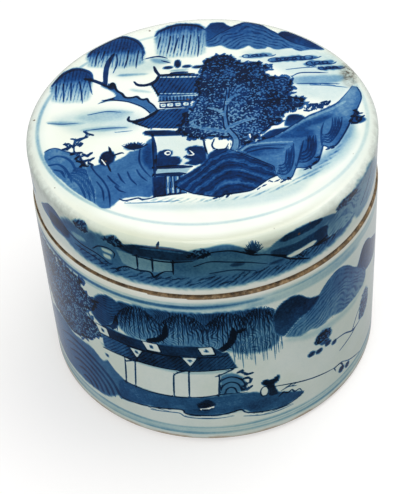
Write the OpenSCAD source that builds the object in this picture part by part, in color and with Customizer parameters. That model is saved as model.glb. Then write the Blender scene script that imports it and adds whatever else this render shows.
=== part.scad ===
// Round porcelain seal paste box: a straight-sided body with a bevelled foot ring and a
// galleried rim, a flat-topped cover that drops over the gallery, and the cake of seal
// paste inside. Millimetres, +Z up, origin on the table under the centre of the foot.

/* [Box] */
// Outer diameter of the body at the seam
outer_d = 100; // [70:1:140]
// Height from the table to the ledge that the cover rests on
body_h = 62.6; // [45:0.2:90]
// Thickness of the body's wall
wall = 5; // [3.5:0.1:7]
// Thickness of the body's floor, above the recess in the foot
floor_t = 5; // [3:0.1:9]
// Radius of the cove between the floor and the wall, inside
floor_cove = 8; // [3:0.5:14]
// How far the wall swells outwards at its widest, low on the body
belly = 0.35; // [0:0.05:1.5]

/* [Foot] */
// Width of the bare ring that the box stands on
foot_w = 5; // [3:0.1:9]
// Depth of the glazed recess inside the foot ring
foot_recess = 1.8; // [0.8:0.1:4]
// Bevel from the wall to the foot ring
foot_bevel = 1.6; // [0.6:0.1:3]
// Rounding of the foot ring's inner edge
foot_round = 0.4; // [0.1:0.05:0.8]
// How far the recessed base bulges down at its centre
base_sag = 0.5; // [0:0.05:0.7]

/* [Gallery] */
// Height of the inner flange above the ledge
flange_h = 5.5; // [3:0.1:9]
// Thickness of the inner flange
flange_t = 2.2; // [1.5:0.1:3]
// Rounding of the flange's lip
flange_round = 0.8; // [0.2:0.05:1.2]
// Free gap between the flange and the cover's skirt
fit_gap = 0.5; // [0.2:0.05:1]
// Free height between the flange's lip and the step inside the cover
lip_gap = 0.7; // [0.3:0.05:2]
// Quarter round on the ledge's outer edge, left bare of glaze
ledge_round = 0.9; // [0.3:0.05:1.5]
// Fillet where the flange stands on the ledge
root_fillet = 0.35; // [0.1:0.05:0.45]
// Height below the ledge over which the wall draws in to the flange
neck_h = 7; // [3:0.5:12]

/* [Cover] */
// Height from the cover's rim to its crown
lid_h = 18.4; // [14:0.2:30]
// How far the cover's side stands in from the body's
lid_inset = 0.2; // [0:0.05:0.6]
// Thickness of the cover's skirt, outside the gallery
skirt_t = 3.6; // [2.5:0.1:5]
// Thickness of the cover's side above the gallery
lid_wall = 5; // [4:0.1:8]
// Thickness of the cover's top
lid_t = 4.6; // [3:0.1:7]
// Radius of the shoulder between the side and the top
shoulder_r = 5; // [2:0.25:8]
// How far the top rises from the shoulder to the centre
dome_rise = 0.8; // [0.1:0.1:4]
// Radius of the cove inside the cover
lid_cove = 4; // [1:0.25:5.5]
// Rounding of the cover's outer bottom edge
rim_round = 0.6; // [0.2:0.05:1]

/* [Seal paste] */
// Free gap between the cake of paste and the wall
paste_gap = 1.8; // [0.5:0.1:6]
// Height of the paste from the floor to its shoulder
paste_h = 21; // [14:0.5:30]
// How far the paste is crowned above its shoulder
paste_crown = 4.5; // [1:0.25:8]
// Radius of the rounded lower edge of the paste
paste_foot_r = 7; // [3:0.5:12]
// Radius of the rounded upper edge of the paste
paste_top_r = 6; // [2:0.5:9]

/* [Hidden] */
glaze = [0.86, 0.90, 0.88];
cinnabar = [0.72, 0.07, 0.04];
round_fn = 180;       // sides of each turned form
arc_steps = 8;        // points along a small round
curve_steps = 16;     // points along a long curve

outer_r = outer_d / 2;
inner_r = outer_r - wall;
lid_r = outer_r - lid_inset;
skirt_r = lid_r - skirt_t;              // inside of the cover's skirt
flange_r = skirt_r - fit_gap;           // outside of the flange
mouth_r = flange_r - flange_t;          // the box's mouth
foot_r = outer_r - foot_bevel;          // outside of the foot ring
recess_r = foot_r - foot_w;             // inside of the foot ring
recess_fillet = foot_recess - foot_round;
floor_z = foot_recess + floor_t;        // inside floor
lip_z = body_h + flange_h;              // top of the flange
step_z = lip_z + lip_gap;               // step inside the cover
top_z = body_h + lid_h;                 // crown of the cover
shoulder_z = top_z - dome_rise;         // where the dome meets the shoulder
hollow_r = lid_r - lid_wall;            // inside of the cover, above its step
ceiling_z = top_z - lid_t;
paste_r = inner_r - paste_gap;
paste_edge_r = paste_r - paste_top_r;   // where the crown of the paste begins

// Points of an arc about c, from angle a to angle b
function arc(c, r, a, b, n = arc_steps) =
    [for (i = [0:n]) let (t = a + (b - a) * i / n) [c[0] + r * cos(t), c[1] + r * sin(t)]];

// Points of a smooth S between p and q, upright at both ends
function ogee(p, q, n = arc_steps) =
    [for (i = [0:n]) let (s = i / n) [p[0] + (q[0] - p[0]) * (3 * s * s - 2 * s * s * s),
                                      p[1] + (q[1] - p[1]) * s]];

// Swell of the wall at a share s of its height, none at the foot's bevel and at the seam
function swell(s) = belly * sin(180 * pow(s, 0.6));

// Outside of the body's wall, from the foot bevel up to the ledge's round
function wall_line() =
    let (z0 = foot_bevel, z1 = body_h - ledge_round)
    [for (i = [0:curve_steps]) let (s = i / curve_steps) [outer_r + swell(s), z0 + (z1 - z0) * s]];

// A shallow crown over the radius r, from the centre outwards, at height z with the rise h
function crown(r, z, h, n = curve_steps) =
    [for (i = [0:n]) let (s = i / n) [r * s, z + h * (1 - s * s)]];

function reversed(list) = [for (i = [len(list) - 1:-1:0]) list[i]];

// Underside of the body: sagging glazed base, recess wall and bare foot ring
function foot_line() = concat(
    crown(recess_r - recess_fillet, foot_recess, -base_sag),
    arc([recess_r - recess_fillet, foot_round], recess_fillet, 90, 0),
    arc([recess_r + foot_round, foot_round], foot_round, 180, 270),
    [[foot_r, 0]]);

// Ledge and flange that carry the cover, from the outside in
function gallery_line() = concat(
    arc([outer_r - ledge_round, body_h - ledge_round], ledge_round, 0, 90),
    arc([flange_r + root_fillet, body_h + root_fillet], root_fillet, 270, 180),
    arc([flange_r - flange_round, lip_z - flange_round], flange_round, 0, 90),
    arc([mouth_r + flange_round, lip_z - flange_round], flange_round, 90, 180));

// Inside of the body, from the mouth down to the middle of the floor
function well_line() = concat(
    ogee([mouth_r, body_h - root_fillet], [inner_r, body_h - neck_h]),
    arc([inner_r - floor_cove, floor_z + floor_cove], floor_cove, 0, -90),
    [[0, floor_z]]);

module turned(points) {
    rotate_extrude($fn = round_fn) polygon(points);
}

module box_base() {
    color(glaze)
        turned(concat(foot_line(), wall_line(), gallery_line(), well_line()));
}

// Inside of the cover, from the middle of the ceiling out and down to the rim
function lid_inside() = concat(
    [[0, ceiling_z]],
    arc([hollow_r - lid_cove, ceiling_z - lid_cove], lid_cove, 90, 0),
    [[hollow_r, step_z]],
    arc([skirt_r - root_fillet, step_z - root_fillet], root_fillet, 90, 0),
    arc([skirt_r + root_fillet, body_h + root_fillet], root_fillet, 180, 270));

// Outside of the cover, from the rim up over the shoulder to the crown
function lid_outside() = concat(
    arc([lid_r - rim_round, body_h + rim_round], rim_round, 270, 360),
    arc([lid_r - shoulder_r, shoulder_z - shoulder_r], shoulder_r, 0, 90, curve_steps),
    reversed(crown(lid_r - shoulder_r, shoulder_z, dome_rise)));

module lid() {
    color(glaze)
        turned(concat(lid_inside(), lid_outside()));
}

// A kneaded cake of paste that stands on the floor, clear of the cove and the wall
function paste_line() = concat(
    [[0, floor_z]],
    arc([paste_r - paste_foot_r, floor_z + paste_foot_r], paste_foot_r, -90, 0),
    arc([paste_edge_r, floor_z + paste_h - paste_top_r], paste_top_r, 0, 82),
    reversed(crown(paste_edge_r, floor_z + paste_h, paste_crown)));

module seal_paste() {
    color(cinnabar)
        turned(paste_line());
}

box_base();
lid();
seal_paste();
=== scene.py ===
"""Looks of a round porcelain seal paste box, painted in cobalt blue under a clear glaze.

The box is a turned body with a bare foot ring and a galleried rim, a flat-topped cover that drops over
the gallery, and a cake of red seal paste inside. Each turned piece is thrown as a dense mesh, and the
landscape is brushed on its vertices as named fields, which the glaze's nodes turn into cobalt.
Lengths are in millimetres until a mesh is made, and the side that faces the camera faces -Y. An
outline is a row of numbers, across and up by turns.
"""
import logging
import math
from dataclasses import dataclass
from functools import partial, reduce
from typing import Callable, Sequence

import bmesh
import bpy
import numpy as np
from mathutils import Matrix, Vector


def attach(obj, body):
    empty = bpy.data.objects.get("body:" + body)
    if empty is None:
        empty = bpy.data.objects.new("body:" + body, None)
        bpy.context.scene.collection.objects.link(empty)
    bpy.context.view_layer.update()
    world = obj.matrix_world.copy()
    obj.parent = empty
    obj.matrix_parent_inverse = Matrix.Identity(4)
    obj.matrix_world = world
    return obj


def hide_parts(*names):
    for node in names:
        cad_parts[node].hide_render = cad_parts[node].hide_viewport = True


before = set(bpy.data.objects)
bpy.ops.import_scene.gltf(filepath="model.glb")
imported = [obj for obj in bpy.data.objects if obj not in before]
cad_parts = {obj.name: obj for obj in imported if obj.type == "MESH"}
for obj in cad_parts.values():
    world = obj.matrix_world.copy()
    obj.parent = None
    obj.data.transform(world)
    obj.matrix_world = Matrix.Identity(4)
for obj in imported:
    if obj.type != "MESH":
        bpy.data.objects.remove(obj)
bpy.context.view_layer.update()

LOG = logging.getLogger("seal_paste_box")
MM = 0.001
FAR = 9.0
WELD = 1e-6
SECTORS = 30
GIRTH = 50

Array = np.ndarray
Point = tuple[float, float]
Colour = tuple[float, float, float]
Outline = Sequence[float] | Array
Load = float | Callable[[Array, Array], Array]
Thing = bpy.types.Object
Socket = bpy.types.NodeSocket


def ease(low: float, high: float, value: Array) -> Array:
    """Smooth step of value from 0 at low to 1 at high."""
    t = np.clip((value - low) / (high - low), 0.0, 1.0)
    return t * t * (3.0 - 2.0 * t)


def ripple(x: Array, y: Array, size: float, seed: int) -> Array:
    """Soft waves between about -1 and 1, for wobble that no hand can leave out.

    Args:
        x: places across, mm.
        y: places up, mm.
        size: length of a wave, mm.
        seed: which waves.

    Returns:
        One height for each place.
    """
    rng = np.random.default_rng(seed)
    total = np.zeros_like(x)
    for _ in range(6):
        turn, shift, stretch = rng.uniform(0, math.tau), rng.uniform(0, math.tau), rng.uniform(0.6, 1.7)
        total += np.sin((x * math.cos(turn) + y * math.sin(turn)) * math.tau * stretch / size + shift)
    return total / 3.2


def pairs(points: Outline) -> Array:
    """An outline's numbers as one point a row."""
    return np.asarray(points, float).reshape(-1, 2)


def spline(points: Outline, closed: bool = False, step: float = 0.6) -> Array:
    """A smooth curve through given points.

    Args:
        points: the points, mm.
        closed: whether the curve comes back to its start.
        step: distance between the points that are returned, mm.

    Returns:
        Points along the curve, one a row.
    """
    p = pairs(points)
    if len(p) < 3:
        count = max(2, int(np.hypot(*(p[-1] - p[0])) / step) + 1)
        return p[0] + (p[-1] - p[0]) * np.linspace(0, 1, count)[:, None]
    first, last = (p[-1], [p[0], p[1]]) if closed else (2 * p[0] - p[1], [2 * p[-1] - p[-2]])
    ring = np.vstack([first, p, *last])
    out = []
    for a, b, c, d in zip(ring, ring[1:], ring[2:], ring[3:]):
        count = max(2, int(np.hypot(*(c - b)) / step) + 1)
        t = np.linspace(0, 1, count, endpoint=False)[:, None]
        curve = 2 * b + (c - a) * t + (2 * a - 5 * b + 4 * c - d) * t ** 2
        out.append(0.5 * (curve + (3 * b - a - 3 * c + d) * t ** 3))
    if not closed:
        out.append(p[-1:])
    return np.vstack(out)


def depth_inside(x: Array, y: Array, corners: Array) -> Array:
    """Measures how deep places lie inside a shape.

    Args:
        x: the places across, mm.
        y: the places up, mm.
        corners: the shape's corners, one a row.

    Returns:
        Each place's distance to the shape's edge, mm, positive inside it.
    """
    nearest = np.full(x.shape, np.inf)
    inside = np.zeros(x.shape, bool)
    for (ax, ay), (bx, by) in zip(corners, np.roll(corners, -1, axis=0)):
        dx, dy = bx - ax, by - ay
        t = np.clip(((x - ax) * dx + (y - ay) * dy) / (dx * dx + dy * dy + 1e-12), 0, 1)
        nearest = np.minimum(nearest, (x - ax - t * dx) ** 2 + (y - ay - t * dy) ** 2)
        if ay != by:
            inside ^= ((ay > y) != (by > y)) & (x < dx * (y - ay) / dy + ax)
    return np.where(inside, 1.0, -1.0) * np.sqrt(nearest)


class Panel:
    """A stretch of raw glaze laid out flat, on which the cobalt is brushed.

    Washes are loads of pigment: 0.3 is a pale mist, 1 a middle blue and 2 or more a blue black. Lines are
    kept as the signed distance to the nearest brush line, so that they stay finer than the mesh. Combs
    are families of parallel lines, kept as a phase that grows by 1 from line to line. Foliage is kept as
    the depth inside its outline.
    """

    FIELDS = ("wash", "line_side", "line_near", "line_half", "line_load", "comb_phase", "comb_load",
        "comb_duty", "leaf_depth", "leaf_load")
    START = {"line_side": FAR, "line_near": FAR, "line_half": 0.2, "comb_duty": 0.4, "leaf_depth": -3.0}
    EDGE = 0.2
    LINE_REACH = 1.3

    def __init__(self, across: Array, up: Array) -> None:
        """Lays out the panel.

        Args:
            across: each vertex's place across the panel, mm.
            up: each vertex's place up the panel, mm.
        """
        self.x, self.y = across, up
        self.values = {name: np.full(len(across), self.START.get(name, 0.0)) for name in self.FIELDS}
        self.order = np.argsort(across)
        self.ranked = across[self.order]

    def within(self, x0: float, x1: float, y0: float, y1: float) -> Array:
        """Finds the vertices in a window.

        Args:
            x0, x1: the window's left and right, mm.
            y0, y1: its bottom and top, mm.

        Returns:
            The vertices' indices.
        """
        first, last = np.searchsorted(self.ranked, (x0, x1))
        found = self.order[first:last]
        return found[(self.y[found] > y0) & (self.y[found] < y1)]

    def area(self, outline: Outline, sharp: bool = False, ragged: float = 0.0, seed: int = 1,
            reach: float = 1.6) -> tuple[Array, Array]:
        """Finds what lies in and just round an outline.

        Args:
            outline: its corners, mm.
            sharp: whether its corners stay sharp, as on a building.
            ragged: how far its edge wanders, mm.
            seed: which way it wanders.
            reach: how far outside the outline is looked at, mm.

        Returns:
            The vertices' indices, and their depth inside the outline.
        """
        shape = pairs(outline) if sharp else spline(outline, closed=True)
        low, high = shape.min(axis=0) - reach, shape.max(axis=0) + reach
        found = self.within(low[0], high[0], low[1], high[1])
        x, y = self.x[found], self.y[found]
        depth = depth_inside(x, y, shape)
        if ragged:
            depth = depth + ragged * (0.6 * ripple(x, y, 5.3, seed) + 0.5 * ripple(x, y, 2.1, seed + 1))
        near = depth > -reach
        return found[near], depth[near]

    def amount(self, load: Load, found: Array) -> float | Array:
        """A load on the found vertices."""
        return load(self.x[found], self.y[found]) if callable(load) else load

    def fill(self, outline: Outline, load: Load, soft: float = 0.3, add: bool = False, **how: float) -> None:
        """Lays a wash in an outline.

        Args:
            outline: its corners, mm.
            load: the pigment's load, or a function that gives it by place.
            soft: half the width of its soft edge, mm.
            add: whether it goes on top of what is there, or covers it.
            how: what area() takes.
        """
        found, depth = self.area(outline, reach=soft + 0.6, **how)
        share, wash = ease(-soft, soft, depth), self.values["wash"]
        wash[found] += share * (self.amount(load, found) - (0 if add else wash[found]))

    def reserve(self, outline: Outline, **how: float) -> None:
        """Leaves an outline white: no wash, line, comb or leaf in it.

        Args:
            outline: its corners, mm.
            how: what area() takes.
        """
        found, depth = self.area(outline, reach=0.6, **how)
        inner, kept, v = found[depth > 0], 1 - ease(-self.EDGE, self.EDGE, depth), self.values
        v["wash"][found] *= kept
        v["comb_load"][found] *= kept
        v["line_near"][inner] = FAR
        v["line_load"][inner] = 0
        v["leaf_depth"][found] = np.minimum(v["leaf_depth"][found], -depth - 0.3)

    def line(self, points: Outline, width: float = 0.4, load: float = 1.6, press: Point = (0.6, 0.4),
            sharp: bool = False) -> None:
        """Draws one brush line.

        Args:
            points: the points that it runs through, mm.
            width: its width in the middle, mm.
            load: its pigment.
            press: its width at its start and its end, as shares of the width.
            sharp: whether it has corners, as a ruled line does.
        """
        path = pairs(points) if sharp else spline(points)
        along = np.linspace(0, 1, len(path))
        half = np.interp(along, (0, 0.3, 0.75, 1), (press[0], 1, 1, press[1])) * width / 2
        v, reach = self.values, width / 2 + self.LINE_REACH
        for (ax, ay), (bx, by), h0, h1 in zip(path, path[1:], half, half[1:]):
            found = self.within(min(ax, bx) - reach, max(ax, bx) + reach, min(ay, by) - reach,
                max(ay, by) + reach)
            x, y, dx, dy = self.x[found] - ax, self.y[found] - ay, bx - ax, by - ay
            t = np.clip((x * dx + y * dy) / (dx * dx + dy * dy + 1e-12), 0, 1)
            away = np.hypot(x - t * dx, y - t * dy)
            side = np.where(x * dy - y * dx > 0, away, -away)
            h = h0 + (h1 - h0) * t
            closer = away - h < v["line_near"][found] - v["line_half"][found]
            hit = found[closer]
            v["line_side"][hit], v["line_near"][hit] = side[closer], away[closer]
            v["line_half"][hit], v["line_load"][hit] = h[closer], load

    def comb(self, outline: Outline, phase: Callable[[Array, Array], Array], load: Load,
            duty: float = 0.45, soft: float = 0.6, **how: float) -> None:
        """Fills an outline with a family of parallel lines.

        Args:
            outline: its corners, mm.
            phase: gives a number that grows by 1 from line to line, by place.
            load: the lines' pigment, or a function that gives it by place.
            duty: the lines' share of the space.
            soft: over how many millimetres they fade at the edge.
            how: what area() takes.
        """
        found, depth = self.area(outline, reach=self.EDGE, **how)
        v = self.values
        v["comb_phase"][found] = phase(self.x[found], self.y[found])
        v["comb_load"][found] = ease(-self.EDGE, soft, depth) * self.amount(load, found)
        v["comb_duty"][found] = duty

    def leaves(self, outline: Outline, load: float, ragged: float) -> None:
        """Fills an outline with leaves.

        Args:
            outline: its corners, mm.
            load: the leaves' pigment.
            ragged: how far its edge wanders, mm.
        """
        found, depth = self.area(outline, reach=2.5, ragged=ragged)
        self.values["leaf_depth"][found] = np.maximum(self.values["leaf_depth"][found], depth)
        self.values["leaf_load"][found[depth > -0.6]] = load

    def dabs(self, places: Outline, length: float, width: float, turn: float = 0.4, load: float = 1.9,
            seed: int = 3) -> None:
        """Sets short dabs of the brush, each turned a little its own way.

        Args:
            places: their middles, mm.
            length: their length, mm.
            width: their width, mm.
            turn: the way that most of them lie, in radians.
            load: their pigment.
            seed: which way each is turned.
        """
        rng = np.random.default_rng(seed)
        for x, y in pairs(places):
            a, size = turn + rng.normal(0, 0.6), length * rng.uniform(0.8, 1.2) / 2
            dx, dy = size * math.cos(a), size * math.sin(a)
            self.line([x - dx, y - dy, x + dx, y + dy], width * rng.uniform(0.85, 1.15), load, (1.0, 0.9))


def oval(centre: Point, wide: float, high: float, count: int = 10) -> list[float]:
    """Lays out points round an oval.

    Args:
        centre: its middle, mm.
        wide: its width, mm.
        high: its height, mm.
        count: how many points.

    Returns:
        The points' numbers, as an outline.
    """
    x, y = centre
    turns = (i * math.tau / count for i in range(count))
    return [c for a in turns for c in (x + wide / 2 * math.cos(a), y + high / 2 * math.sin(a))]


def moved(points: Outline, right: float, mirror: bool) -> Array:
    """The same points further right, mirrored first where asked."""
    return pairs(points) * (-1 if mirror else 1, 1) + (right, 0)


def ribbon(points: Outline, first: float, last: float) -> Array:
    """Lays out a bough.

    Args:
        points: points along its middle, mm.
        first: its width at the start, mm.
        last: its width at the end, mm.

    Returns:
        The points of its outline, one a row.
    """
    path = spline(points)
    run = np.gradient(path, axis=0)
    normal = np.column_stack([-run[:, 1], run[:, 0]]) / np.hypot(run[:, 0], run[:, 1])[:, None]
    half = np.linspace(first, last, len(path))[:, None] / 2
    step = max(1, len(path) // 14)
    return np.vstack([(path + normal * half)[::step], (path - normal * half)[::-step]])


def nest(outer: Outline, inner: Outline, count: int) -> list[Array]:
    """Lines that shrink by even steps from just inside outer to inner."""
    first, last = pairs(outer), pairs(inner)
    return [first + (last - first) * i / count for i in range(1, count + 1)]


@dataclass(frozen=True)
class Bough:
    """A trunk or a bough left paler than the leaves round it, with dark edges where it is thick."""

    points: Outline
    first: float
    last: float
    load: float = 0.8

    def paint(self, panel: Panel) -> None:
        """Brushes it on.

        Args:
            panel: what it goes on.
        """
        outline = ribbon(self.points, self.first, self.last)
        panel.reserve(outline)
        panel.fill(outline, self.load, 0.25)
        if self.first > 1:
            half = len(outline) // 2
            for edge in (outline[:half], outline[half:]):
                panel.line(edge, 0.42, 1.7)


@dataclass(frozen=True)
class Wash:
    """A plain wash, laid over what is there."""

    outline: Outline
    load: float
    soft: float = 0.3
    ragged: float = 0.0
    add: bool = False

    def paint(self, panel: Panel) -> None:
        """Brushes it on."""
        panel.fill(self.outline, self.load, self.soft, self.add, ragged=self.ragged)


@dataclass(frozen=True)
class Tint(Wash):
    """A wash added to what is there. A negative load wipes some of it off."""

    add: bool = True


@dataclass(frozen=True)
class Line:
    """One brush line. A negative load wipes a white line out of a wash."""

    points: Outline
    width: float = 0.4
    load: float = 1.6

    def paint(self, panel: Panel) -> None:
        """Brushes it on."""
        panel.line(self.points, self.width, self.load, (1.0, 1.0) if self.load < 0 else (0.7, 0.35))


@dataclass(frozen=True)
class Willow:
    """A willow: a dark cap of leaves from which streaks fall."""

    crown: Outline
    cap: float
    fall: float
    strands: Sequence[Outline] = ()
    load: float = 2.0
    streak: float = 0.65

    def paint(self, panel: Panel) -> None:
        """Brushes it on, from the cap down.

        Args:
            panel: what it goes on.
        """
        crown, low = pairs(self.crown), self.fall
        (left, left_end), (right, right_end) = crown[0], crown[-1]
        middle = (left + right) / 2
        skirt = [right - 0.2, (right_end + low) / 2, right - 1.0, low + 1.0, middle + 1, low,
            left + 1.0, low + 1.2, left + 0.2, (left_end + low) / 2]

        def fade(x: Array, y: Array) -> Array:
            """Load by place, darkest in the cap."""
            cap = ease(self.cap - 2.4, self.cap + 1.0, y + 0.8 * ripple(x, 0 * y, 3.1, 4))
            return self.load * (0.13 + 0.3 * ease(low, self.cap, y) + 0.42 * cap)

        outline = [*self.crown, *skirt]
        panel.fill(outline, fade, 0.7, ragged=0.3, seed=int(abs(middle)) + 2)
        panel.comb(outline, lambda x, y: x - 0.14 * (y - low), self.streak, 0.34, 1.6)
        panel.line(crown * (0.99, 0.985), 1.1, 1.0)
        for strand in self.strands:
            panel.line(strand, 0.42, 1.3, (0.9, 0.4))


@dataclass(frozen=True)
class Hill:
    """A hill that stands in mist: its ridge from left to right, and its scalloped foot from right to left."""

    ridge: Outline
    foot: Outline
    load: float = 1.1
    edge: float = 0.0
    streak: float = 0.0

    def paint(self, panel: Panel) -> None:
        """Brushes it on.

        Args:
            panel: what it goes on.
        """
        ridge, outline = pairs(self.ridge), np.vstack([pairs(self.ridge), pairs(self.foot)])
        peak, top = ridge[ridge[:, 1].argmax()]
        low = outline[:, 1].min()

        def tone(x: Array, y: Array) -> Array:
            """Load by place, palest at the foot."""
            return self.load * (0.78 + 0.34 * ease(low, top, y))

        def slopes(x: Array, y: Array) -> Array:
            """Phase of the streaks that run down from the peak."""
            return (y + 0.75 * np.sqrt((x - peak) ** 2 + 3) + 0.9 * ripple(x, y, 9, 12)) / 1.75

        panel.reserve(outline)
        panel.fill(outline, tone, 0.3, ragged=0.15)
        if self.streak:
            panel.comb(outline, slopes, self.streak, 0.44, 1.2)
        if self.edge:
            panel.line(self.ridge, 0.5, self.edge)


@dataclass(frozen=True)
class Rock:
    """A rock face in one wash, with folds drawn into it."""

    outline: Outline
    load: float
    folds: Sequence[Outline]
    bold: float
    ink: float
    rim: Outline = ()

    def paint(self, panel: Panel) -> None:
        """Brushes it on.

        Args:
            panel: what it goes on.
        """
        panel.reserve(self.outline)
        panel.fill(self.outline, self.load, 0.25, ragged=0.12)
        for fold in self.folds:
            panel.line(fold, self.bold, self.ink, (0.8, 0.3))
        if self.rim:
            panel.line(self.rim, 0.4, 1.1)


@dataclass(frozen=True)
class Crags:
    """A rock built of nested layers, light and dark by turns."""

    outline: Outline
    peak: Point
    slopes: Point = (1.0, 0.58)

    def layer(self, x: Array, y: Array) -> Array:
        """Counts the layers down from the peak.

        Args:
            x: places across, mm.
            y: places up, mm.

        Returns:
            A number for each place that grows by 1 from layer to layer.
        """
        side = x - self.peak[0] + 0.5 * ripple(x, y, 9, 31)
        bend = np.where(side < 0, *self.slopes) * (np.sqrt(side ** 2 + 5) - 2.2)
        down = self.peak[1] - y - bend + 0.3 * ripple(x, y, 6, 32) + 0.3 * ripple(x, y, 2.0, 33)
        down = np.maximum(down, 0)
        return down / (2.55 + 0.085 * down)

    def tone(self, x: Array, y: Array) -> Array:
        """Load by place, palest in the middle of each layer."""
        part = self.layer(x, y) % 1.0
        return 2.05 - 0.8 * ease(0.3, 0.44, part) * (1 - ease(0.58, 0.74, part))

    def paint(self, panel: Panel) -> None:
        """Brushes it on.

        Args:
            panel: what it goes on.
        """
        panel.reserve(self.outline)
        panel.fill(self.outline, self.tone, 0.25, ragged=0.15)
        panel.comb(self.outline, lambda x, y: self.layer(x, y) * 3, 0.45, 0.3, 0.5)


@dataclass(frozen=True)
class Grove:
    """Foliage of many small leaves over a thin wash, with the boughs showing through."""

    outline: Outline
    load: float = 1.3
    under: float = 0.8
    light_from: Point | None = None
    rim: float = 0.0

    def tone(self, x: Array, y: Array) -> Array:
        """Load of the thin wash by place, paler where the light comes from."""
        away = 17.0 if self.light_from is None else np.hypot(x - self.light_from[0], y - self.light_from[1])
        return self.under * (0.8 + 0.2 * ease(4, 17, away))

    def paint(self, panel: Panel) -> None:
        """Brushes it on.

        Args:
            panel: what it goes on.
        """
        panel.reserve(self.outline)
        panel.fill(self.outline, self.tone, 0.4, ragged=0.3)
        panel.leaves(self.outline, self.load, 0.45)
        if self.rim:
            rng = np.random.default_rng(11)
            edge = spline(self.outline, closed=True, step=1.15)
            panel.dabs(edge + rng.normal(0, 0.45, edge.shape), 1.1, 0.75, 0.8, self.rim)


@dataclass(frozen=True)
class Shrub:
    """A few dabs on a bent twig."""

    dabs: Outline
    twigs: Sequence[Outline] = ()
    size: float = 1.1

    def paint(self, panel: Panel) -> None:
        """Brushes it on.

        Args:
            panel: what it goes on.
        """
        for twig in self.twigs:
            panel.line(twig, 0.45, 2.0)
        panel.dabs(self.dabs, self.size, self.size * 0.62, load=2.1, seed=len(self.dabs) // 2)


@dataclass(frozen=True)
class Cloud:
    """A flat cloud scribbled in loops over a thin wash."""

    centre: Point
    long: float
    high: float
    load: float
    turns: int

    def paint(self, panel: Panel) -> None:
        """Brushes it on.

        Args:
            panel: what it goes on.
        """
        panel.fill(oval(self.centre, self.long, self.high), self.load, 0.5, ragged=0.4)
        x, y = self.centre
        loop, steps = [], self.turns * 8
        for i in range(steps + 1):
            a = i * math.tau / 8
            loop.append((x + self.long * (i / steps - 0.5) * 0.8 + self.long * 0.16 * math.cos(a),
                y + self.high * 0.34 * math.sin(a) + 0.2 * math.sin(i)))
        panel.line(loop, 0.36, 1.15, (1.0, 1.0))


Motif = Bough | Wash | Line | Willow | Hill | Rock | Crags | Grove | Shrub | Cloud


class Scene:
    """A landscape, or a part of one, for one face of the box."""

    def __init__(self, panel: Panel) -> None:
        """Takes the panel that it is brushed on."""
        self.panel = panel

    def paint(self, *motifs: Motif) -> None:
        """Brushes motifs on in turn."""
        for motif in motifs:
            motif.paint(self.panel)

    def tiles(self, outline: Outline, load: float, lean: float) -> None:
        """Lays a tiled roof: a flat wash, and ribs that run down it.

        Args:
            outline: its corners, mm.
            load: its pigment.
            lean: how far the ribs lean, as a share of their height.
        """
        self.panel.reserve(outline, sharp=True)
        self.panel.fill(outline, load, 0.15, sharp=True)
        self.panel.comb(outline, lambda x, y: (x + lean * y) / 1.25, 0.9, 0.32, 0.3, sharp=True)

    def band(self, height: float, half: float, load: float, soft: float = 0.35, start: float = -160,
            stop: float = 160) -> None:
        """Bands the panel at one height, as a brush held to a turning pot does.

        Args:
            height: how high the band lies, mm.
            half: half its width, mm.
            load: its pigment.
            soft: the width of its soft edge, mm.
            start: where it begins across the panel, mm.
            stop: where it ends, mm.
        """
        p = self.panel
        wobble = 0.18 * np.sin(p.x / GIRTH * 2 + 1) + 0.08 * np.sin(p.x / GIRTH * 5)
        share = 1 - ease(half, half + soft, np.abs(p.y - height - wobble))
        share *= ease(start - 3, start + 3, p.x) * (1 - ease(stop - 3, stop + 3, p.x))
        amount = share * load * (0.85 + 0.2 * np.sin(p.x / 7 + height))
        p.values["wash"] = np.maximum(p.values["wash"], amount)


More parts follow.
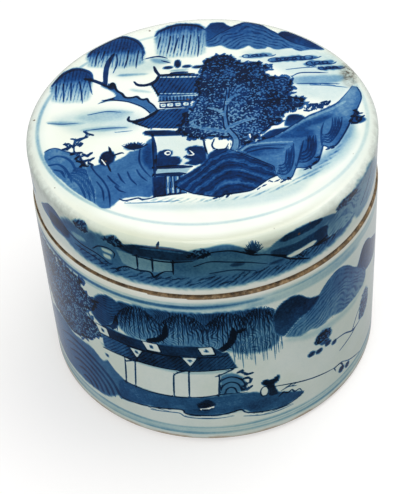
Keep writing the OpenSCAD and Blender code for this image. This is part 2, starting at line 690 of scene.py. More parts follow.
class Pavilion(Scene):
    """The two-storeyed waterside pavilion on the cover's top."""

    LEFT, RIGHT = -11.2, 0.2

    def upper_roof(self) -> None:
        """The upper roof with its curled hip, ridge and finial."""
        p = self.panel
        roof = [-10.6, 20.1, -3, 19.8, 0.4, 19.4, 1.4, 14, 1, 10, -11.3, 10.3, -12.4, 13.6, -13.4, 15.8,
            -12, 17]
        self.tiles(roof, 1.65, -0.5)
        p.line([-12.2, 24, -11.6, 21.6, -10.6, 19.6], 0.9, 2.6)
        p.line([-10.3, 20.1, -6, 19.8, -1, 19.7], 0.8, 2.4)
        p.line([-10.4, 19, -6, 18.6, 0, 18.1], 0.55, -1.5)
        p.line([-11.2, 19.4, -11.7, 17.8, -13.2, 16.4, -15, 15.8, -17, 16.2, -18, 17.7], 1.1, 2.6)
        p.line([-13, 15.8, -12.2, 13.6, -11.6, 11.8, -11.2, 10.2], 0.5, 2.4)
        p.line([-10.8, 11.6, -6, 11.1, 0, 10.4], 0.5, -1.3)
        p.fill(oval((-5.4, 24.7), 1.8, 3.8), 2.6)
        p.fill(oval((-8.2, 23.2), 2.8, 1.3), 2.5)
        p.fill(oval((-2.8, 23.2), 2.6, 1.3), 2.5)
        p.fill(oval((0.1, 22.6), 2.6, 1.3), 2.4)
        p.fill(oval((-5.1, 21.6), 5.4, 1.2), 0.5)
        p.line([-7.4, 20.7, -2.8, 20.7], 0.6, 2.3)

    def storey(self) -> None:
        """The lattice and the windows between the roofs."""
        p = self.panel
        wall = [self.LEFT, 10.6, self.RIGHT, 9.8, self.RIGHT, 4.6, self.LEFT, 4.8]
        p.reserve(wall, sharp=True)
        band = [self.LEFT, 10.3, self.RIGHT, 9.6, self.RIGHT, 7.6, self.LEFT, 8.2]
        p.fill(band, 1, 0.2, sharp=True)
        p.comb(band, lambda x, y: x / 0.95, 1.3, 0.5, 0.2, sharp=True)
        p.line([self.LEFT, 8.2, -5, 7.9, self.RIGHT, 7.5], 0.5, 2.3)
        for x in (-10, -8, -5.9, -3.7):
            sash = [x - 0.95, 7.2, x + 0.95, 7.1, x + 0.95, 5.3, x - 0.95, 5.4]
            p.line([*sash, *sash[:2]], 0.4, 2.2, sharp=True)
            p.fill(oval((x, 6.3), 0.7, 0.8), 1, 0.2)
        p.line([self.LEFT - 0.6, 4.5, -6, 4.6, self.RIGHT, 4.2], 0.5, 2.4)

    def lower_roof(self) -> None:
        """The lower roof with its long upturned eave."""
        p = self.panel
        roof = [-11.6, 4.3, -4, 4.6, 1, 4.2, 1, -3.5, -7, -4.3, -14, -3.3, -17, -1.4, -19.2, -0.1, -17, 0.3,
            -14.5, 1.6, -12.6, 3.3]
        self.tiles(roof, 1.7, -0.75)
        p.line([-19.7, 2.2, -19.9, 0.9, -18.6, 0.2, -16.5, 0.5, -14.4, 1.7, -12.4, 3.5, -11.4, 4.4], 1, 2.8)
        p.line([-19.5, 0.4, -17.2, -1.2, -15, -2.5, -13.6, -3.7], 0.45, 2.4)
        p.line([-14.4, -3.2, -11, -3.8, -7, -4.4, -5, -4.5], 0.6, -1.2)
        beam = [-15.8, -4.8, -14, -4.1, -7.5, -4.9, -4.6, -5.6, -5.2, -7.1, -10, -6.8, -14.6, -6.2]
        p.fill(beam, 2.5, 0.2)

    def hall(self) -> None:
        """The open hall: posts, balustrade and the block that it stands on."""
        p = self.panel
        room = [-12.3, -6.6, -4, -7.1, 0.4, -8.5, 1.5, -15, -3, -19, -12.6, -19]
        p.reserve(room, sharp=True)
        p.fill(room, 0.14, sharp=True)
        p.line([-13.4, -6, -12.8, -12, -13, -18, -13.2, -23], 1, 1.9)
        for line, width in (([0.5, -8.5, 0.6, -12, 1.2, -15.5], 0.5),
                ([-13.3, -19.6, -8, -19.7, -3.2, -20.1], 1.3), ([-13.3, -22.4, -8, -22.6, -4.5, -22.8], 1.3)):
            p.line(line, width, 2.4)
        p.fill([-13, -19.8, -3.4, -20.4, -4.6, -22.4, -13, -22.2], 0.5, 0.2, sharp=True)
        p.fill(oval((0.2, -8.7), 1.6, 1.3), 2.4)
        block = [-13.8, -23.2, -4.6, -23.2, -5.2, -30.2, -13.6, -30.8]
        p.fill(block, 1.2, 0.15, sharp=True)
        p.fill([-13.8, -23.2, -10.6, -23.2, -10.4, -30.8, -13.6, -30.8], 2.3, 0.15, sharp=True)
        for x in (-9.7, -8.4, -7.1):
            p.line([x, -23.8, x - 0.1, -30.2], 0.7, -0.85, sharp=True)
        for x in (-10.4, -9, -7.8, -6.4):
            p.line([x, -23.6, x - 0.1, -30.2], 0.35, 2, sharp=True)
        bush = [-12.3, -14.2, -11.4, -12.8, -9.6, -12.7, -8.2, -14.1, -8.9, -15.6, -7.2, -15.3, -6, -17.2,
            -7.2, -19, -12.4, -19.2]
        second = [-4.2, -12.9, -2.7, -11.8, -0.2, -12.4, 0.9, -15, 0.4, -18.2, -2.5, -19.6, -5, -18.7,
            -3.6, -17.4, -5.3, -16, -3.9, -15.2]
        for shape in (bush, second):
            p.fill(shape, 2.3, 0.25, ragged=0.3)
        p.line(oval((-9.4, -14), 1.5, 1.4, 8) + [-8.65, -14], 0.4, -3)
        p.line([-3.4, -13.6, -2.4, -15.4, -4, -15.4], 0.35, -3)

    def run(self) -> None:
        """Brushes it on from the top down."""
        self.upper_roof()
        self.storey()
        self.lower_roof()
        self.hall()


class House(Scene):
    """The long thatched house on the body, seen from the front with its gable ends picked out."""

    def roofs(self) -> None:
        """The two dark roofs with their white gables."""
        p = self.panel
        upper = [-33, 42.8, -22, 42.4, -1, 43, 1.5, 40.5, 3, 38, -14, 38, -31, 38.6, -34.5, 40.5]
        lower = [-34, 37.8, -31, 38.6, -14, 38.4, 3.3, 40, 5.6, 33, -8, 32.4, -24, 32.6, -33.4, 32.4]
        p.reserve(upper, sharp=True)
        p.reserve(lower, sharp=True)
        p.fill(upper, 2.2, 0.2, sharp=True)
        p.fill(lower, lambda x, y: 1.3 + 0.9 * ease(-27, -23, x) - 0.5 * ease(-6, 0, x), 0.2, sharp=True)
        p.comb(lower, lambda x, y: (x - 0.9 * y) / 1.3, 0.8, 0.3, 0.3, sharp=True)
        p.line([-34, 38.8, -22, 38.2, -10, 38.2, 2.6, 38.4], 0.4, 2.8)
        p.line([-34, 32.2, -24, 32.6, -8, 32.3, 5.6, 33], 0.5, 2.6)
        for x, y, wide in ((-33.4, 40.1, 5), (-17.8, 40.7, 5.6), (-2.5, 41.1, 5)):
            gable = [x - wide / 2, y + 1.6, x + wide / 3, y + 1.8, x + wide / 2, y - 1.7,
                x - wide / 4, y - 1.9]
            self.gable(gable, (x, y))
        for x, y, wide in ((-22.6, 37.8, 4.2), (-7.2, 38.2, 4.8)):
            self.gable([x - wide / 2, y, x + wide / 2, y + 0.1, x, y - 4.2], (x, y - 1.3))

    def gable(self, outline: Outline, mark: Point) -> None:
        """Draws one white gable with a dark dot in it.

        Args:
            outline: its corners, mm.
            mark: where the dot goes, mm.
        """
        p = self.panel
        p.reserve(outline, sharp=True)
        p.line([*outline, *outline[:2]], 0.3, 2.4, sharp=True)
        p.fill(oval(mark, 0.9, 1, 6), 2.5, 0.2)

    def walls(self) -> None:
        """The pale walls, posts and ground line."""
        p = self.panel
        p.reserve(
            [-38, 33.4, -24, 32.6, -8, 32.2, 1, 32.4, 0.4, 21.2, -13, 20, -27, 20.6, -31, 24, -33.5, 27.6],
            sharp=True)
        p.fill([-35, 33.8, -8, 31.9, 5, 32.8, 4, 31.6, -8, 30.9, -34, 32.6], 0.3, 0.4, sharp=True)
        for post in ([-26.7, 31.6, -26.9, 26, -27.3, 20.3], [-23.3, 33, -23.8, 26, -24.2, 20.2],
                [-26.8, 30.4, -25, 31.6, -23.4, 32.6], [-12.1, 30.3, -12.4, 25, -12.6, 19.9],
                [-7.7, 33.4, -8, 26, -8.2, 20.2], [-12, 30.2, -10, 31.6, -7.8, 32.4],
                [0.7, 30.6, 0.4, 26, 0.1, 21], [-0.4, 29.8, 2.4, 31.2, 5.2, 32.8]):
            p.line(post, 0.45, 2.2)
        p.fill(oval((-33, 29.3), 1, 1, 6), 2.4)
        p.line([-28, 21, -20, 20, -8, 20.2, 2, 21.6, 8, 21], 0.45, 1.8)

    def run(self) -> None:
        """Brushes it on."""
        self.walls()
        self.roofs()


class Angler(Scene):
    """A small figure with a rod, sitting on the spit of land."""

    def run(self) -> None:
        """Brushes it on."""
        p = self.panel
        coat = [12.4, 23.4, 13.4, 24.6, 15.5, 24, 17.6, 25, 17.4, 22.4, 16.1, 21.9, 16.4, 20, 17.2, 16.8,
            14.8, 17, 14.2, 19.6, 13.8, 21.6]
        p.fill(coat, 2.7, 0.2)
        p.reserve(oval((13.2, 19.6), 2.4, 4.4, 8))
        p.line(oval((13.2, 19.6), 2.4, 4.4, 8) + [14.4, 19.6], 0.35, 2.2)
        p.line([16, 20.5, 20, 19.3, 28, 16.4, 37.2, 13.4], 0.4, 2.4)
        p.line([37.2, 13.4, 38.4, 13.2, 40.4, 12.9, 41.4, 11.2, 41.4, 9.8], 0.5, 2.2)
        p.line([37.6, 13, 38.2, 11.4], 0.4, 2)
        p.fill(oval((41, 9.6), 2.6, 2.6, 8), 2.2)
        p.fill(oval((44, 8.7), 2.2, 2.2, 8), 2)
        p.line([41, 13, 44, 10.6, 47, 8.8, 52, 6.4], 0.35, 1.4)


class TopScene(Scene):
    """The cover's top: a pavilion under a broad tree by the water, with willows and far hills."""

    def ring(self) -> None:
        """The pale blue line round the top, and the glaze pooled blue beside it."""
        p = self.panel
        span = np.hypot((p.x - 0.4) / 45.4, (p.y + 1.2) / 41.2)
        away = (span - 1) * 43
        side = ease(22, 40, np.abs(p.x))
        line = 0.42 * (1 - ease(0.15, 0.8, np.abs(away))) * (0.6 + 0.4 * side)
        line *= 1 - 0.6 * ease(8, 34, p.x)
        pool = 0.08 * side * ease(-3, 0, away) * (1 - ease(0.5, 3.5, away))
        p.values["wash"] = np.maximum(p.values["wash"], line + pool)

    def far_shore(self) -> None:
        """Willows, hills, clouds and mist."""
        self.paint(
            Hill([3.3, 40.4, 3.9, 41.3, 4.6, 42.6, 5.6, 43.4, 8.6, 43.2, 9.8, 41.8, 11, 40.9, 12.7, 41.3],
                [12, 40, 9, 37, 6, 35, 3.2, 34.6], 1.9),
            Hill([24.6, 35.4, 25.8, 36.7, 28, 36.3, 29.7, 35.3, 32, 33, 34.5, 31, 36, 29.3, 37.2, 27],
                [36, 26.6, 33.5, 27.3, 30, 27, 26.5, 30], 2.1),
            Hill([3.2, 34.6, 5, 35.5, 7, 37.5, 9.5, 39.2, 12.4, 41.1, 15.6, 42.5, 18, 41.8, 20, 40.6,
                22, 38.2, 24, 36.2, 26, 33.6, 28.5, 31, 32, 28.8, 34.8, 27.2], [31, 27.2, 29, 28.1, 26, 28.4,
                23, 28.5, 21, 29.8, 20, 29, 17.3, 29.3, 15.5, 31, 13.5, 29.8, 11.5, 29.5, 9, 30.7, 7.5, 31.9,
                5, 31.6, 3, 32.3], 1.28, 1, 0.55),
            Line([12, 41.2, 15.5, 42.6, 18, 41.8, 20.2, 40.3, 22.4, 37.8], 0.6, 1.3),
            Willow([-11.6, 39.4, -10.6, 41.2, -9, 42.4, -6.8, 43.6, -4, 44.1, -1, 43.8, 1.6, 42.8, 3.3, 40.8],
                41.3, 27.4, ([-7, 38, -7.6, 34, -8.3, 30], [-4.8, 37, -5.7, 33, -6.3, 30], [-1, 38, -1.8, 33,
                -2.2, 29.5], [1.2, 37, 1, 32, 0.5, 27.5], [-10, 38, -11, 32.5], [-3.2, 38, -4.2, 31])),
            Willow([-31.6, 31.5, -30, 35, -27.5, 36.9, -25, 38.7, -22.5, 40, -19.5, 39.4, -17, 37.3,
                -15.7, 34.6, -14.9, 31], 32.6, 24.6, ([-28, 33, -28.9, 30, -29, 26.5], [-26.4, 33, -27.4, 29],
                [-19.5, 32.5, -20, 28, -20.8, 24.5], [-16.6, 32, -17.2, 27, -17.4, 24.2], [-15.2, 32,
                -15.6, 27.5], [-23, 31, -22.8, 27, -24, 22.5])),
            Willow([-41.9, 18.8, -40, 22.6, -37.5, 24.9, -35, 25.9, -32.6, 25.1, -30.8, 23.4, -30.1, 20],
                20.6, 10, ([-40.2, 18, -40.3, 12.3], [-38.2, 19, -38, 11], [-36, 19, -36, 11.5], [-33.6, 19.5,
                -33, 14, -32.7, 9.8], [-31, 20, -30.5, 16.5, -30, 13.5])),
            Line([-32, 20.6, -30, 19.8, -27.3, 17.9, -25.4, 16.4], 1.2, 2.1),
            Line([-26.2, 17, -26.2, 21, -25.9, 25, -25, 28.5, -23.8, 31.5], 1.5, 1.9),
            Line([-14.4, 28.2, -11, 28.8, -8.5, 27.8], 0.6, 1.7),
            Wash([-13, 28, -9, 27.6, -7.4, 26, -9, 25.1, -12, 26], 0.5, 0.7),
            Line([-9.8, 26.6, -7.6, 25.4], 0.5, 1.4),
            Wash([-22, 21.6, -15, 21.3, -15, 20.7, -22, 20.7], 0.55, 0.5),
            Wash([-19, 14.6, -14, 13, -13.8, 12.4, -18, 13.4], 0.4, 0.6),
            Tint([-26, 24, -13, 28, -10, 24, -20, 20], 0.2, 2), Cloud((17.5, 26), 9.5, 2, 0.75, 3),
            Cloud((27.6, 23.4), 14.5, 2.4, 0.9, 5), Cloud((35, 20.6), 8.5, 2.4, 0.9, 3),
            Cloud((37.8, 18), 7.5, 1.8, 1.05, 3),
            Line([26.8, 15.4, 29, 16.6, 33, 16.4, 36.8, 15.8], 0.45, 1.5),
            Line([25.5, 18.6, 31, 18.9, 36, 18.6], 0.35, 1),
            Wash([26, 14.6, 33, 15, 41, 14.2, 40, 11.6, 32, 11, 27, 12], 0.42, 0.8),
            Line([28, 11.8, 33, 11.4, 39.5, 10.6], 0.4, 1), Line([31.5, 10.8, 36, 10.2, 41.5, 8.7], 0.4, 0.8),
            Tint([14, 28, 24, 29, 40, 24, 44, 8, 38, 3, 28, 7, 27, 14, 20, 22], 0.2, 2))

    def left_water(self) -> None:
        """Drifts of mist over the water on the left."""
        self.paint(
            Tint([-40, 4, -30, 6.4, -20, 5, -16, 1, -20, -4, -32, -4, -38, 0], 0.22, 2.4),
            Tint([-34, 4, -25, 5.6, -19, 3.6, -24, 1.4, -32, 1.6], 0.2, 1.4),
            Wash([-42.5, 2.4, -37, 2.2, -32, 0.9, -38, 0.4], 0.55, 0.6),
            Wash([-31, 4.4, -25, 5.8, -18.5, 4.2, -24, 4.1], 0.5, 0.6),
            Wash([-33, -1.9, -26, -1.2, -20, -2.2, -27, -3], 0.55, 0.6),
            Line([-31, 4.4, -26, 5.3, -22, 4.6], 0.35, 0.9),
            Line([-32, -2.3, -26, -1.9, -20.5, -2.2], 0.35, 0.9),
            Line([-42, 1.8, -38, 1.2, -34, 1.1], 0.35, 0.9), Line([-23.5, -3.9, -19, -3.7], 0.3, 0.8))

    def bank(self) -> None:
        """The bank that runs from the willows down to the pavilion."""
        top = [-26.5, 17.5, -25, 15.7, -24.5, 17.8, -23.8, 17.4, -23, 14.4, -21.5, 12.7, -20.6, 11,
            -18.6, 10.7, -17.4, 11.1, -16.5, 9.9, -15.4, 9.4, -14.6, 9.8, -14, 8.2, -13, 7, -12.2, 5.4,
            -11.8, 4.4]
        low = [-13.7, 3.3, -14.5, 4.6, -16, 6.3, -18, 7.8, -20, 9.1, -22.5, 9.8, -25, 9.9, -28, 9.2,
            -25.5, 10.8, -23.6, 11.4, -23.4, 12.6, -24.6, 14.4, -27.4, 16.8]
        self.paint(
            Wash([*top, *low], 1.15, 0.25), Line(top, 0.7, 2.3), Wash(oval((-24.4, 16.4), 2, 3), 2.4, 0.3),
            Line([-13.6, 2.9, -14.6, 4.6, -16, 6.3, -18, 7.8, -20, 9, -23, 9.9, -25.4, 10.2, -28.2, 9], 0.45,
                1.8), Line([-23.6, 11.4, -25, 10.6, -27, 10.4], 0.4, 1.4),
            Line([-13.7, 3.1, -14.1, 2, -15.6, 1.2, -17.6, 0.9], 0.4, 1.8))

    def left_rocks(self) -> None:
        """The boulder and the rock at the lower left, with what grows on them."""
        boulder = Rock([-42.6, -9.8, -41, -8.9, -39.3, -9, -37.5, -10.2, -35, -11.4, -33.2, -13, -31.8, -15.6,
                -31, -18, -28, -25, -27, -33, -30.5, -30.6, -34.5, -26.4, -38, -21.8, -40.6, -17.8,
                -42.6, -13], 0.98,
            ([-41.4, -13.3, -39.5, -12.2, -37.3, -12.8, -35.4, -14.8, -34.4, -17.5, -33.6, -20],
                [-41.2, -15.7, -39, -15.5, -37.2, -17.2, -35.8, -20.4, -35.2, -23], [-39.8, -17.7, -38, -18.5,
                -37, -21], *nest([-33.6, -16.6, -30, -18.4, -27, -22.4, -25.6, -27, -25.2, -34], [-36, -21,
                -34.6, -22, -33, -24.4, -32, -27, -31.4, -29.6], 5)), 0.75, 0.6)
        crag = Rock([-31.4, -16.8, -29, -17, -26.8, -16.3, -24, -15.8, -22.3, -15, -20.6, -13.8, -19.7, -12.4,
                -17.5, -11.8, -16, -10.6, -15.2, -9.2, -13.6, -7.7, -13.1, -14, -13.4, -22, -13.7, -30.1,
                -18, -30.4, -22, -30.8, -25.2, -34, -28.4, -32.4, -29, -26, -30.6, -21], 1.12,
            ([-30, -17.4, -28.8, -20, -27, -23, -25.6, -26.5, -25.1, -30, -25, -34], [-25.5, -21.6,
                -24.3, -23.8, -22.5, -26], [-22.8, -20.9, -22, -23.3, -21, -25], [-20.3, -20.6, -19.5, -23.3,
                -18, -25.7], [-17.8, -20, -16.9, -22.3, -15.3, -24.5], [-23.6, -26, -22.4, -27.6, -21, -28.4],
                [-16.9, -11.6, -17.1, -16.5, -16, -20, -14.3, -23], [-28.4, -23.6, -27, -26.8, -26.6, -31]),
            0.5, 0.8)
        self.paint(
            boulder, crag, Tint([-15.8, -12, -14, -10, -13.6, -20, -15.6, -18], 0.7, 0.8),
            Line([-42.6, -10, -41, -8.9, -39.3, -9, -37.5, -10.2, -35, -11.4, -33.2, -13, -31.8, -15.6], 0.4,
                1.2), Line([-13.5, -7.6, -13.3, -13, -13.3, -19], 0.5, 1.6),
            Shrub([-37.4, -9.4, -36.8, -7.4, -36.2, -9.2, -35.4, -8.4, -33.2, -7.8, -33.6, -5.8, -31.9, -5.3,
                -30.2, -4.1, -31.5, -3.2, -34.8, -5.6, -32.8, -8.2], ([-34.7, -11, -34.8, -8, -34.4, -5.4],
                [-34.6, -8.6, -33.2, -6.4, -32, -5.4, -31.3, -3.6], [-34.8, -8.4, -36.4, -8.6, -37.2, -7]),
                1.15),
            Shrub([-34.8, -11.6, -33.4, -11.4, -30.4, -12.2, -31.6, -12.6, -33.8, -13.2, -30, -14.4,
                -31.4, -14.8, -33.2, -15, -30.2, -16.2, -31.8, -16.8, -32.6, -16.6], ([-34.4, -11.2,
                -33.2, -12.6, -32.4, -15, -31.2, -17], [-33, -13, -31, -12.4], [-32.4, -15, -30.4, -14.4]),
                1.3),
            Wash([-26.4, -11.8, -24.6, -11.6, -23.6, -13.6, -24.2, -16, -26.2, -17.4, -27.8, -15.8,
                -27.4, -13], 2.5, 0.2), Line([-24.8, -12, -25.2, -9.9], 0.7, 2.4),
            Line([-24, -13.4, -22, -12.6, -21.4, -12.8], 0.6, 2.3),
            Line([-25.6, -17, -24.8, -19.8], 0.5, 2.2), Line([-27.1, -15, -26.2, -16.8], 0.35, -3),
            Wash(oval((-18.4, -10.5), 5.2, 2.4), 1.3, 0.4, ragged=0.5))
        for i in range(9):
            self.panel.line([-19 + 0.15 * i, -11.6, -21.6 + 0.85 * i, -10.2 + 1.5 * math.sin(0.3 + i * 0.33)],
                0.5, 1.6)

    def tree(self) -> None:
        """The broad tree in front of the pavilion."""
        crown = [2.2, 24, 3.4, 26, 5.4, 27.3, 8, 27.4, 10.4, 26.6, 11.2, 25, 12.4, 23.3, 15, 22.8, 18, 23,
            19.3, 21.6, 21, 20.4, 19.6, 18.9, 19.2, 17.2, 21.7, 15.6, 24, 15.2, 26.4, 13.8, 26.6, 11.6,
            26.2, 9.3, 24.8, 7.4, 26.4, 6, 29, 5.2, 29.2, 2.8, 27.4, 1.2, 24.4, 0.4, 22.8, -1.6, 21.6, -4.6,
            19, -5.6, 17.6, -7.2, 16.4, -8.4, 15.4, -10.6, 13, -12, 10.2, -12.8, 9, -10, 5, -9.4, 2.5, -8.2,
            -0.2, -8.7, -2.8, -8.6, -5.4, -6.6, -6.4, -4, -4.6, -2.3, -3.9, 0.2, -3.5, 2.7, -1.8, 4.6,
            -0.6, 8, -0.2, 11, -0.6, 14, 0.1, 17, 1.3, 20]
        self.paint(
            Grove(crown, 1.3, 1.06, (4, -2), 1.3),
            Bough([8.3, -15, 9.1, -12, 9, -9.6, 8, -7.4, 7.1, -5.2, 6.8, -2, 6.8, 1, 7.3, 4, 7.9, 8, 8.4, 12],
                1.9, 0.7, 1),
            Tint([1, 20, 4, 26.4, 10, 25.6, 18, 22, 18, 17, 25.6, 14, 26, 9, 29, 4, 25, 1, 20, -4, 18, 2,
                18.6, 9, 14, 14, 7, 16], 0.26, 1.6),
            Bough([7.2, -7.2, 5, -6, 2.5, -5.2, 0, -4.6, -1.9, -3.2, -2.6, -1.8], 0.85, 0.5, 1.12),
            Bough([7.6, -4.8, 10, -3.6, 12.6, -2.4, 14.4, -2.2], 0.75, 0.4, 1.15),
            Bough([7.4, 5, 9, 7.6, 11.4, 9], 0.6, 0.4, 1), Bough([6.6, 0, 5.4, 2.2, 3, 3.6], 0.6, 0.4, 0.95),
            Line([15.6, -8.4, 15.9, -10.6], 0.8, -1), Line([12.8, -8.8, 12.7, -10.6], 0.9, -1.2),
            Line([3.3, -9.8, 2.6, -12, 3.4, -13.7, 6, -13.9, 7, -12], 0.45, 2.2))

    def cliff(self) -> None:
        """The long cliff on the right and the layered rock at the front."""
        crest = [9.3, -14.8, 11.3, -13.2, 14, -12.2, 17, -11, 20, -9.8, 23, -7.6, 25.5, -5.6, 28, -3.6,
            30.5, -2, 33, -0.8, 35.5, 0.6, 38, 2.2, 40, 4.6, 41.7, 7, 43.1, 9.2]
        foot = [44.4, 8.4, 45, 6, 44.9, 3.4, 44, 0.8, 42.9, -1.6, 41.4, -4.6, 40.2, -7.4, 39, -10, 37.4, -13,
            36, -15.2, 35, -16, 33.8, -16.2, 32.4, -15.2, 31.9, -16.6, 31.2, -19, 30.2, -21.6, 28.4, -23,
            26.6, -23.7, 24.4, -23.4, 23.6, -25, 22.8, -27, 21.4, -27.8, 19.6, -26.8, 18.6, -24, 16, -21,
            13, -18, 10, -16]
        folds = [*nest([19.4, -26.2, 21.2, -27, 23.2, -24.6, 24.6, -19.6, 25.2, -13], [20, -22, 20.8, -22,
                21.6, -21, 22, -19, 22.4, -16], 4),
            *nest([24.6, -22.4, 27.2, -22.6, 29.8, -20, 31, -16, 31.4, -11], [26, -17.6, 27, -17.4, 28, -16,
                28.4, -14, 28.6, -11], 4),
            *nest([32.3, -14.6, 34.2, -15.3, 36.6, -12.2, 38.6, -8, 39.6, -4], [33.2, -11, 34.2, -10.6,
                35.2, -8.8, 35.8, -6.6, 36, -4.2], 4), [24.4, -22.8, 25.2, -20.4, 26, -17.4, 27.2, -12.8],
            [32, -15, 32.1, -12, 32.6, -8.6, 33.4, -6], [11, -15.2, 13.4, -14, 18, -13.7, 22.6, -14],
            [12, -15.9, 16, -15, 21.6, -15.2], [19, -26, 17.6, -22.6, 14, -19, 10.6, -16.4]]
        cliff = Rock([*crest, *foot], 1.02, folds, 0.5, 0.85, crest)
        front = [3, -14.2, 6, -14, 8, -14.8, 10, -16, 13, -18, 16, -20.3, 18.5, -22.3, 18.3, -24, 18.8, -26,
            16.8, -27, 15, -28.5, 13.5, -29.8, 11.8, -31, 8, -31.6, 5, -31.8, 4, -32.6, 1.5, -32.2,
            -1.5, -31.2, -3.5, -30.5, -5.2, -29.3, -7.8, -27, -6.4, -24, -4, -22.3, -1, -20, 0.6, -18,
            1.5, -15.6]
        self.paint(
            Hill([22.8, -6, 23.5, -3, 24.6, -1.7, 27, -1.7, 28.4, -2.8], [28, -4, 25, -6], 2),
            Wash([15.2, -11.6, 17.6, -8.4, 20, -7.2, 23.4, -6.8, 25.4, -5.6, 23, -8.6, 19, -11], 1.9, 0.25),
            cliff, Line([20, -10.4, 23, -8.4, 27, -5.4, 31, -2.8, 36, -0.4, 40, 2.4], 0.9, -0.25),
            Line([10.6, -14.8, 12.6, -13.2, 16, -12.6, 20, -12.6, 24, -12.8], 0.6, -0.3),
            Tint([24.6, -7.6, 27.4, -5.4, 31, -4, 36, -2.6, 34, -5, 30, -7, 27, -8.4], 0.65, 0.9),
            Tint([17, -10.8, 20.6, -9.8, 24, -8.2, 30, -8.4, 29.6, -11, 21, -11.2], 0.5, 0.5),
            Tint([11, -15.2, 14, -14.2, 21, -15, 20, -17.4, 14, -17.6], 0.4, 0.5),
            Tint([26.6, -14, 30.4, -11, 29.8, -18, 27.6, -21, 25.8, -20.8], 0.4, 0.7),
            Tint([40, -3, 44, 4, 42.6, 8, 38, 1], -0.18, 1.4),
            Wash([42.6, -1, 43.6, -3, 44.8, -6, 42.6, -7, 40.9, -6.2], 1.7, 0.4, ragged=0.4),
            Line(foot[:-6], 0.42, 1.3), Crags(front, (7, -14)), Line(front[:16], 0.35, 1.2),
            Line(front[16:44], 0.4, 1.8),
            Shrub([42.8, -2, 43.6, -3, 41.8, -4, 42.7, -4.9, 41, -5.5, 43.3, -6, 41.8, -6.9, 44.2, -4.4]),
            Shrub([29.5, -0.3, 30, 1.1, 31.2, 0.4, 31.8, 2.3, 32.9, 1.6, 33.2, 0.6, 34.5, 3, 34.6, 1.8,
                30.8, 2.2, 35.8, 2.6], ([32, 0, 31, 2.6], [33.6, 0.6, 35, 3.4]), 1.2),
            Shrub([29.3, -21.9, 28, -23.6, 26.8, -24.2, 30.4, -19.9, 20.2, -28.4, 18.9, -27.9, 22, -27.4,
                15.4, -29.4, 13.8, -30.5, 17.2, -28, 5.6, -32.5, 2.4, -33, 33.4, -16.8, 34.8, -16.2], (),
                0.8))

    def shore(self) -> None:
        """Water along the front, hatched with a slanting dry brush."""
        p = self.panel
        p.comb([-21, -30.8, -10, -31.4, 4, -33, 14, -31.4, 22, -28.2, 30, -22.8, 36, -16, 38, -14, 34, -22,
                27, -28, 18, -32, 10, -34, 0, -34.4, -12, -33.4], lambda x, y: (x * 0.55 - y * 0.9) / 1.3,
            0.4, 0.5, 0.8)
        self.paint(
            Line([-22.4, -30.9, -21, -31.6, -17.6, -30.9, -16.6, -31.6, -13.4, -31.2], 0.5, 1.9),
            Line([-13.6, -30.9, -9, -30.4, -5.2, -30.2], 0.6, 2.2),
            Line([-21, -32.6, -15, -32.9, -7, -33], 0.35, 0.7),
            Tint([24, -26, 30, -21, 36, -14, 40, -6, 42, -12, 37, -21, 29, -27], 0.34, 2),
            Tint([25, -24.6, 31, -19, 35, -16, 38, -12, 41, -6, 42, -8, 37, -17, 31, -22.6], 0.3, 1.2),
            Tint([-20, -33, 0, -34, 22, -29, 30, -24, 24, -33, 10, -37, -12, -36], 0.2, 1.5))

    def run(self) -> None:
        """Brushes the whole top."""
        self.left_water()
        self.far_shore()
        self.bank()
        self.left_rocks()
        Pavilion(self.panel).run()
        self.tree()
        self.cliff()
        self.shore()
        self.ring()


